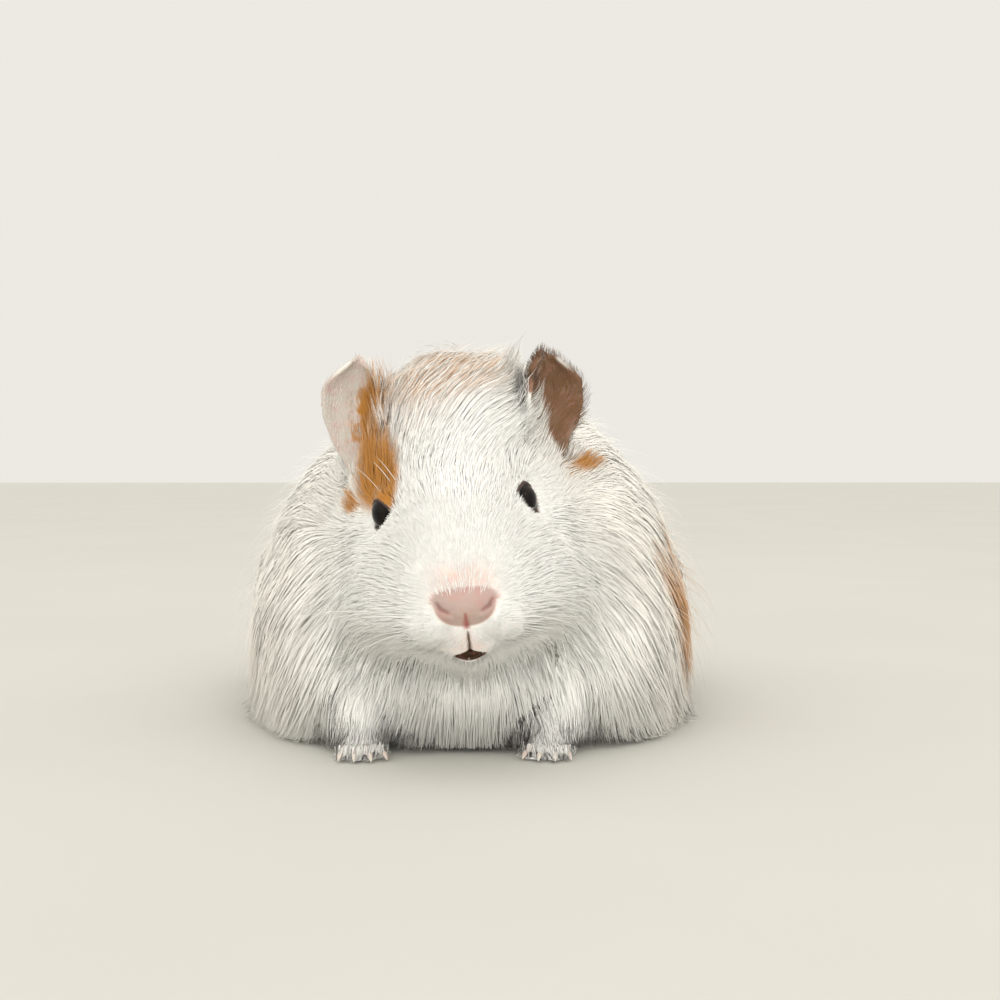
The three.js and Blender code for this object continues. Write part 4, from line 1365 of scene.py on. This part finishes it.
def make_stage():
    """A plain pale floor, soft lights and the camera."""
    bpy.ops.object.select_all(action="DESELECT")
    bpy.ops.mesh.primitive_plane_add(size=8, location=(0, 1.0, 0))
    floor = bpy.context.active_object
    floor.name = "floor"
    floor.data.transform(floor.matrix_world)
    floor.location = (0, 0, 0)
    material, tree, shader = new_material("Pale Floor", {"Roughness": 0.7})
    place = add_node(tree, "TexCoord")
    cloud = add_node(tree, "TexNoise", {"Scale": 6, "Detail": 3})
    tone = add_node(tree, "Mix", {6: (0.56, 0.55, 0.51, 1), 7: (0.61, 0.60, 0.56, 1)}, data_type="RGBA")
    link(tree, (place, "Object", cloud, "Vector"), (cloud, "Fac", tone, 0), (tone, 2, shader, "Base Color"))
    floor.data.materials.append(material)

    world = bpy.data.worlds.new("Soft Room")
    world.use_nodes = True
    tree = world.node_tree
    sky = tree.nodes["Background"]
    sky.inputs["Color"].default_value = (1.0, 0.975, 0.91, 1)
    look = add_node(tree, "TexCoord")
    facing = add_node(tree, "VectorMath", {1: (-0.15, -0.6, 0.78)}, operation="DOT_PRODUCT")
    glow = add_node(tree, "MapRange", {"From Min": -0.3, "From Max": 1, "To Min": 0.84, "To Max": 1.38})
    link(
        tree,
        (look, "Generated", facing, 0), (facing, "Value", glow, "Value"), (glow, "Result", sky, "Strength"),
    )
    bpy.context.scene.world = world
    bpy.context.scene.view_settings.view_transform = "Standard"
    for name, (place, size, power) in LAMPS.items():
        light = bpy.data.lights.new(name, "AREA")
        light.size = size
        light.energy = power
        turned_to(placed(name, light), place, Vector(LAMP_AIM) - Vector(place))

    camera = bpy.data.cameras.new("camera")
    camera.lens = CAMERA["lens"]
    camera.sensor_width = 36
    bpy.context.scene.camera = placed("camera", camera)
    turned_to(bpy.context.scene.camera, CAMERA["place"], CAMERA["look"])


# ---- the add-on: settings, operators and panel ----


def amount(name, description, default):
    return bpy.props.FloatProperty(name=name, description=description, default=default)


def tone(name, description, default):
    kind = {"subtype": "COLOR", "size": 3}
    return bpy.props.FloatVectorProperty(name=name, description=description, default=default, **kind)


class GuineaPigSettings(bpy.types.PropertyGroup):
    """Sizes and colours that a user would change."""

    length: amount("Coat Length", "Length of the coat against the usual", 1.0)
    thickness: amount("Tuft Width", "Width of the tufts against the usual", 1.0)
    locks: amount("Locks", "Gathering in locks against the usual", 1.0)
    whisker: amount("Whisker", "Longest whisker in millimetres", 34.0)
    white: tone("White", "White hair of the face", (0.97, 0.955, 0.92))
    cream: tone("Cream", "Creamy hair of the body", (0.965, 0.915, 0.82))
    ginger: tone("Ginger", "Ginger patches", (0.55, 0.235, 0.045))
    chocolate: tone("Chocolate", "Chocolate patches", (0.24, 0.125, 0.058))
    nose_pink: tone("Nose", "Bare skin of the nose", (0.46, 0.345, 0.31))
    skin_pink: tone("Skin", "Bare skin of lips and feet", (0.78, 0.55, 0.47))
    ear_pink: tone("Pale Ear", "Skin of the pale ear", (0.57, 0.53, 0.48))
    ear_brown: tone("Dark Ear", "Skin of the dark ear", (0.24, 0.14, 0.085))
    iris: tone("Iris", "Ring round the pupil", (0.016, 0.010, 0.007))


def settings_of(context):
    return context.scene.guinea_pig


class GUINEAPIG_OT_stage(bpy.types.Operator):
    """Set the floor, the soft lights and the camera"""

    bl_idname = "guineapig.stage"
    bl_label = "Stage"

    def execute(self, context):
        make_stage()
        return {"FINISHED"}


class GUINEAPIG_OT_skin(bpy.types.Operator):
    """Make one skin from the solids of flesh"""

    bl_idname = "guineapig.skin"
    bl_label = "Skin"

    def execute(self, context):
        make_skin(settings_of(context))
        sow()
        return {"FINISHED"}


class GUINEAPIG_OT_eyes(bpy.types.Operator):
    """Set both eyes in their lids"""

    bl_idname = "guineapig.eyes"
    bl_label = "Eyes"

    def execute(self, context):
        for name in SIDES:
            make_eye(name, settings_of(context))
        return {"FINISHED"}


class GUINEAPIG_OT_claws(bpy.types.Operator):
    """Set the claws on all four feet"""

    bl_idname = "guineapig.claws"
    bl_label = "Claws"

    def execute(self, context):
        horn = material_with("Claw Horn", grain_group(), 0.15, 0.05)
        for name in SIDES:
            make_claws(f"forefoot_{name}", 4, horn)
            make_claws(f"hindfoot_{name}", 3, horn)
        return {"FINISHED"}


class GUINEAPIG_OT_head_coat(bpy.types.Operator):
    """Grow the coat of the head and ears"""

    bl_idname = "guineapig.head_coat"
    bl_label = "Head Coat"

    def execute(self, context):
        for name in COAT_NAMES:
            if name not in BODY_COMBING:
                make_coat(name, settings_of(context))
        return {"FINISHED"}


class GUINEAPIG_OT_body_coat(bpy.types.Operator):
    """Grow the long coat of the body and the short coat of the legs"""

    bl_idname = "guineapig.body_coat"
    bl_label = "Body Coat"

    def execute(self, context):
        for name in BODY_COMBING:
            make_coat(name, settings_of(context))
        return {"FINISHED"}


class GUINEAPIG_OT_whiskers(bpy.types.Operator):
    """Set the whiskers"""

    bl_idname = "guineapig.whiskers"
    bl_label = "Whiskers"

    def execute(self, context):
        make_whiskers(settings_of(context))
        return {"FINISHED"}


OPERATORS = (
    GUINEAPIG_OT_stage,
    GUINEAPIG_OT_skin,
    GUINEAPIG_OT_eyes,
    GUINEAPIG_OT_claws,
    GUINEAPIG_OT_head_coat,
    GUINEAPIG_OT_body_coat,
    GUINEAPIG_OT_whiskers,
)


class GUINEAPIG_PT_panel(bpy.types.Panel):
    """Lists the guinea pig's settings and steps"""

    bl_label = "Guinea Pig"
    bl_idname = "GUINEAPIG_PT_panel"
    bl_space_type = "VIEW_3D"
    bl_region_type = "UI"
    bl_category = "Guinea Pig"

    def draw(self, context):
        for key in GuineaPigSettings.__annotations__:
            self.layout.prop(settings_of(context), key)
        for operator in OPERATORS:
            self.layout.operator(operator.bl_idname)


CLASSES = (GuineaPigSettings, *OPERATORS, GUINEAPIG_PT_panel)


def register():
    for one in CLASSES:
        bpy.utils.register_class(one)
    bpy.types.Scene.guinea_pig = bpy.props.PointerProperty(type=GuineaPigSettings)


def unregister():
    del bpy.types.Scene.guinea_pig
    for one in reversed(CLASSES):
        bpy.utils.unregister_class(one)


def main():
    """Registers the add-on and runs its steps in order."""
    register()
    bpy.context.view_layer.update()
    bpy.ops.guineapig.stage()
    bpy.ops.guineapig.skin()
    bpy.ops.guineapig.eyes()
    bpy.ops.guineapig.claws()
    bpy.ops.guineapig.head_coat()
    bpy.ops.guineapig.body_coat()
    bpy.ops.guineapig.whiskers()


if __name__ == "__main__":
    main()
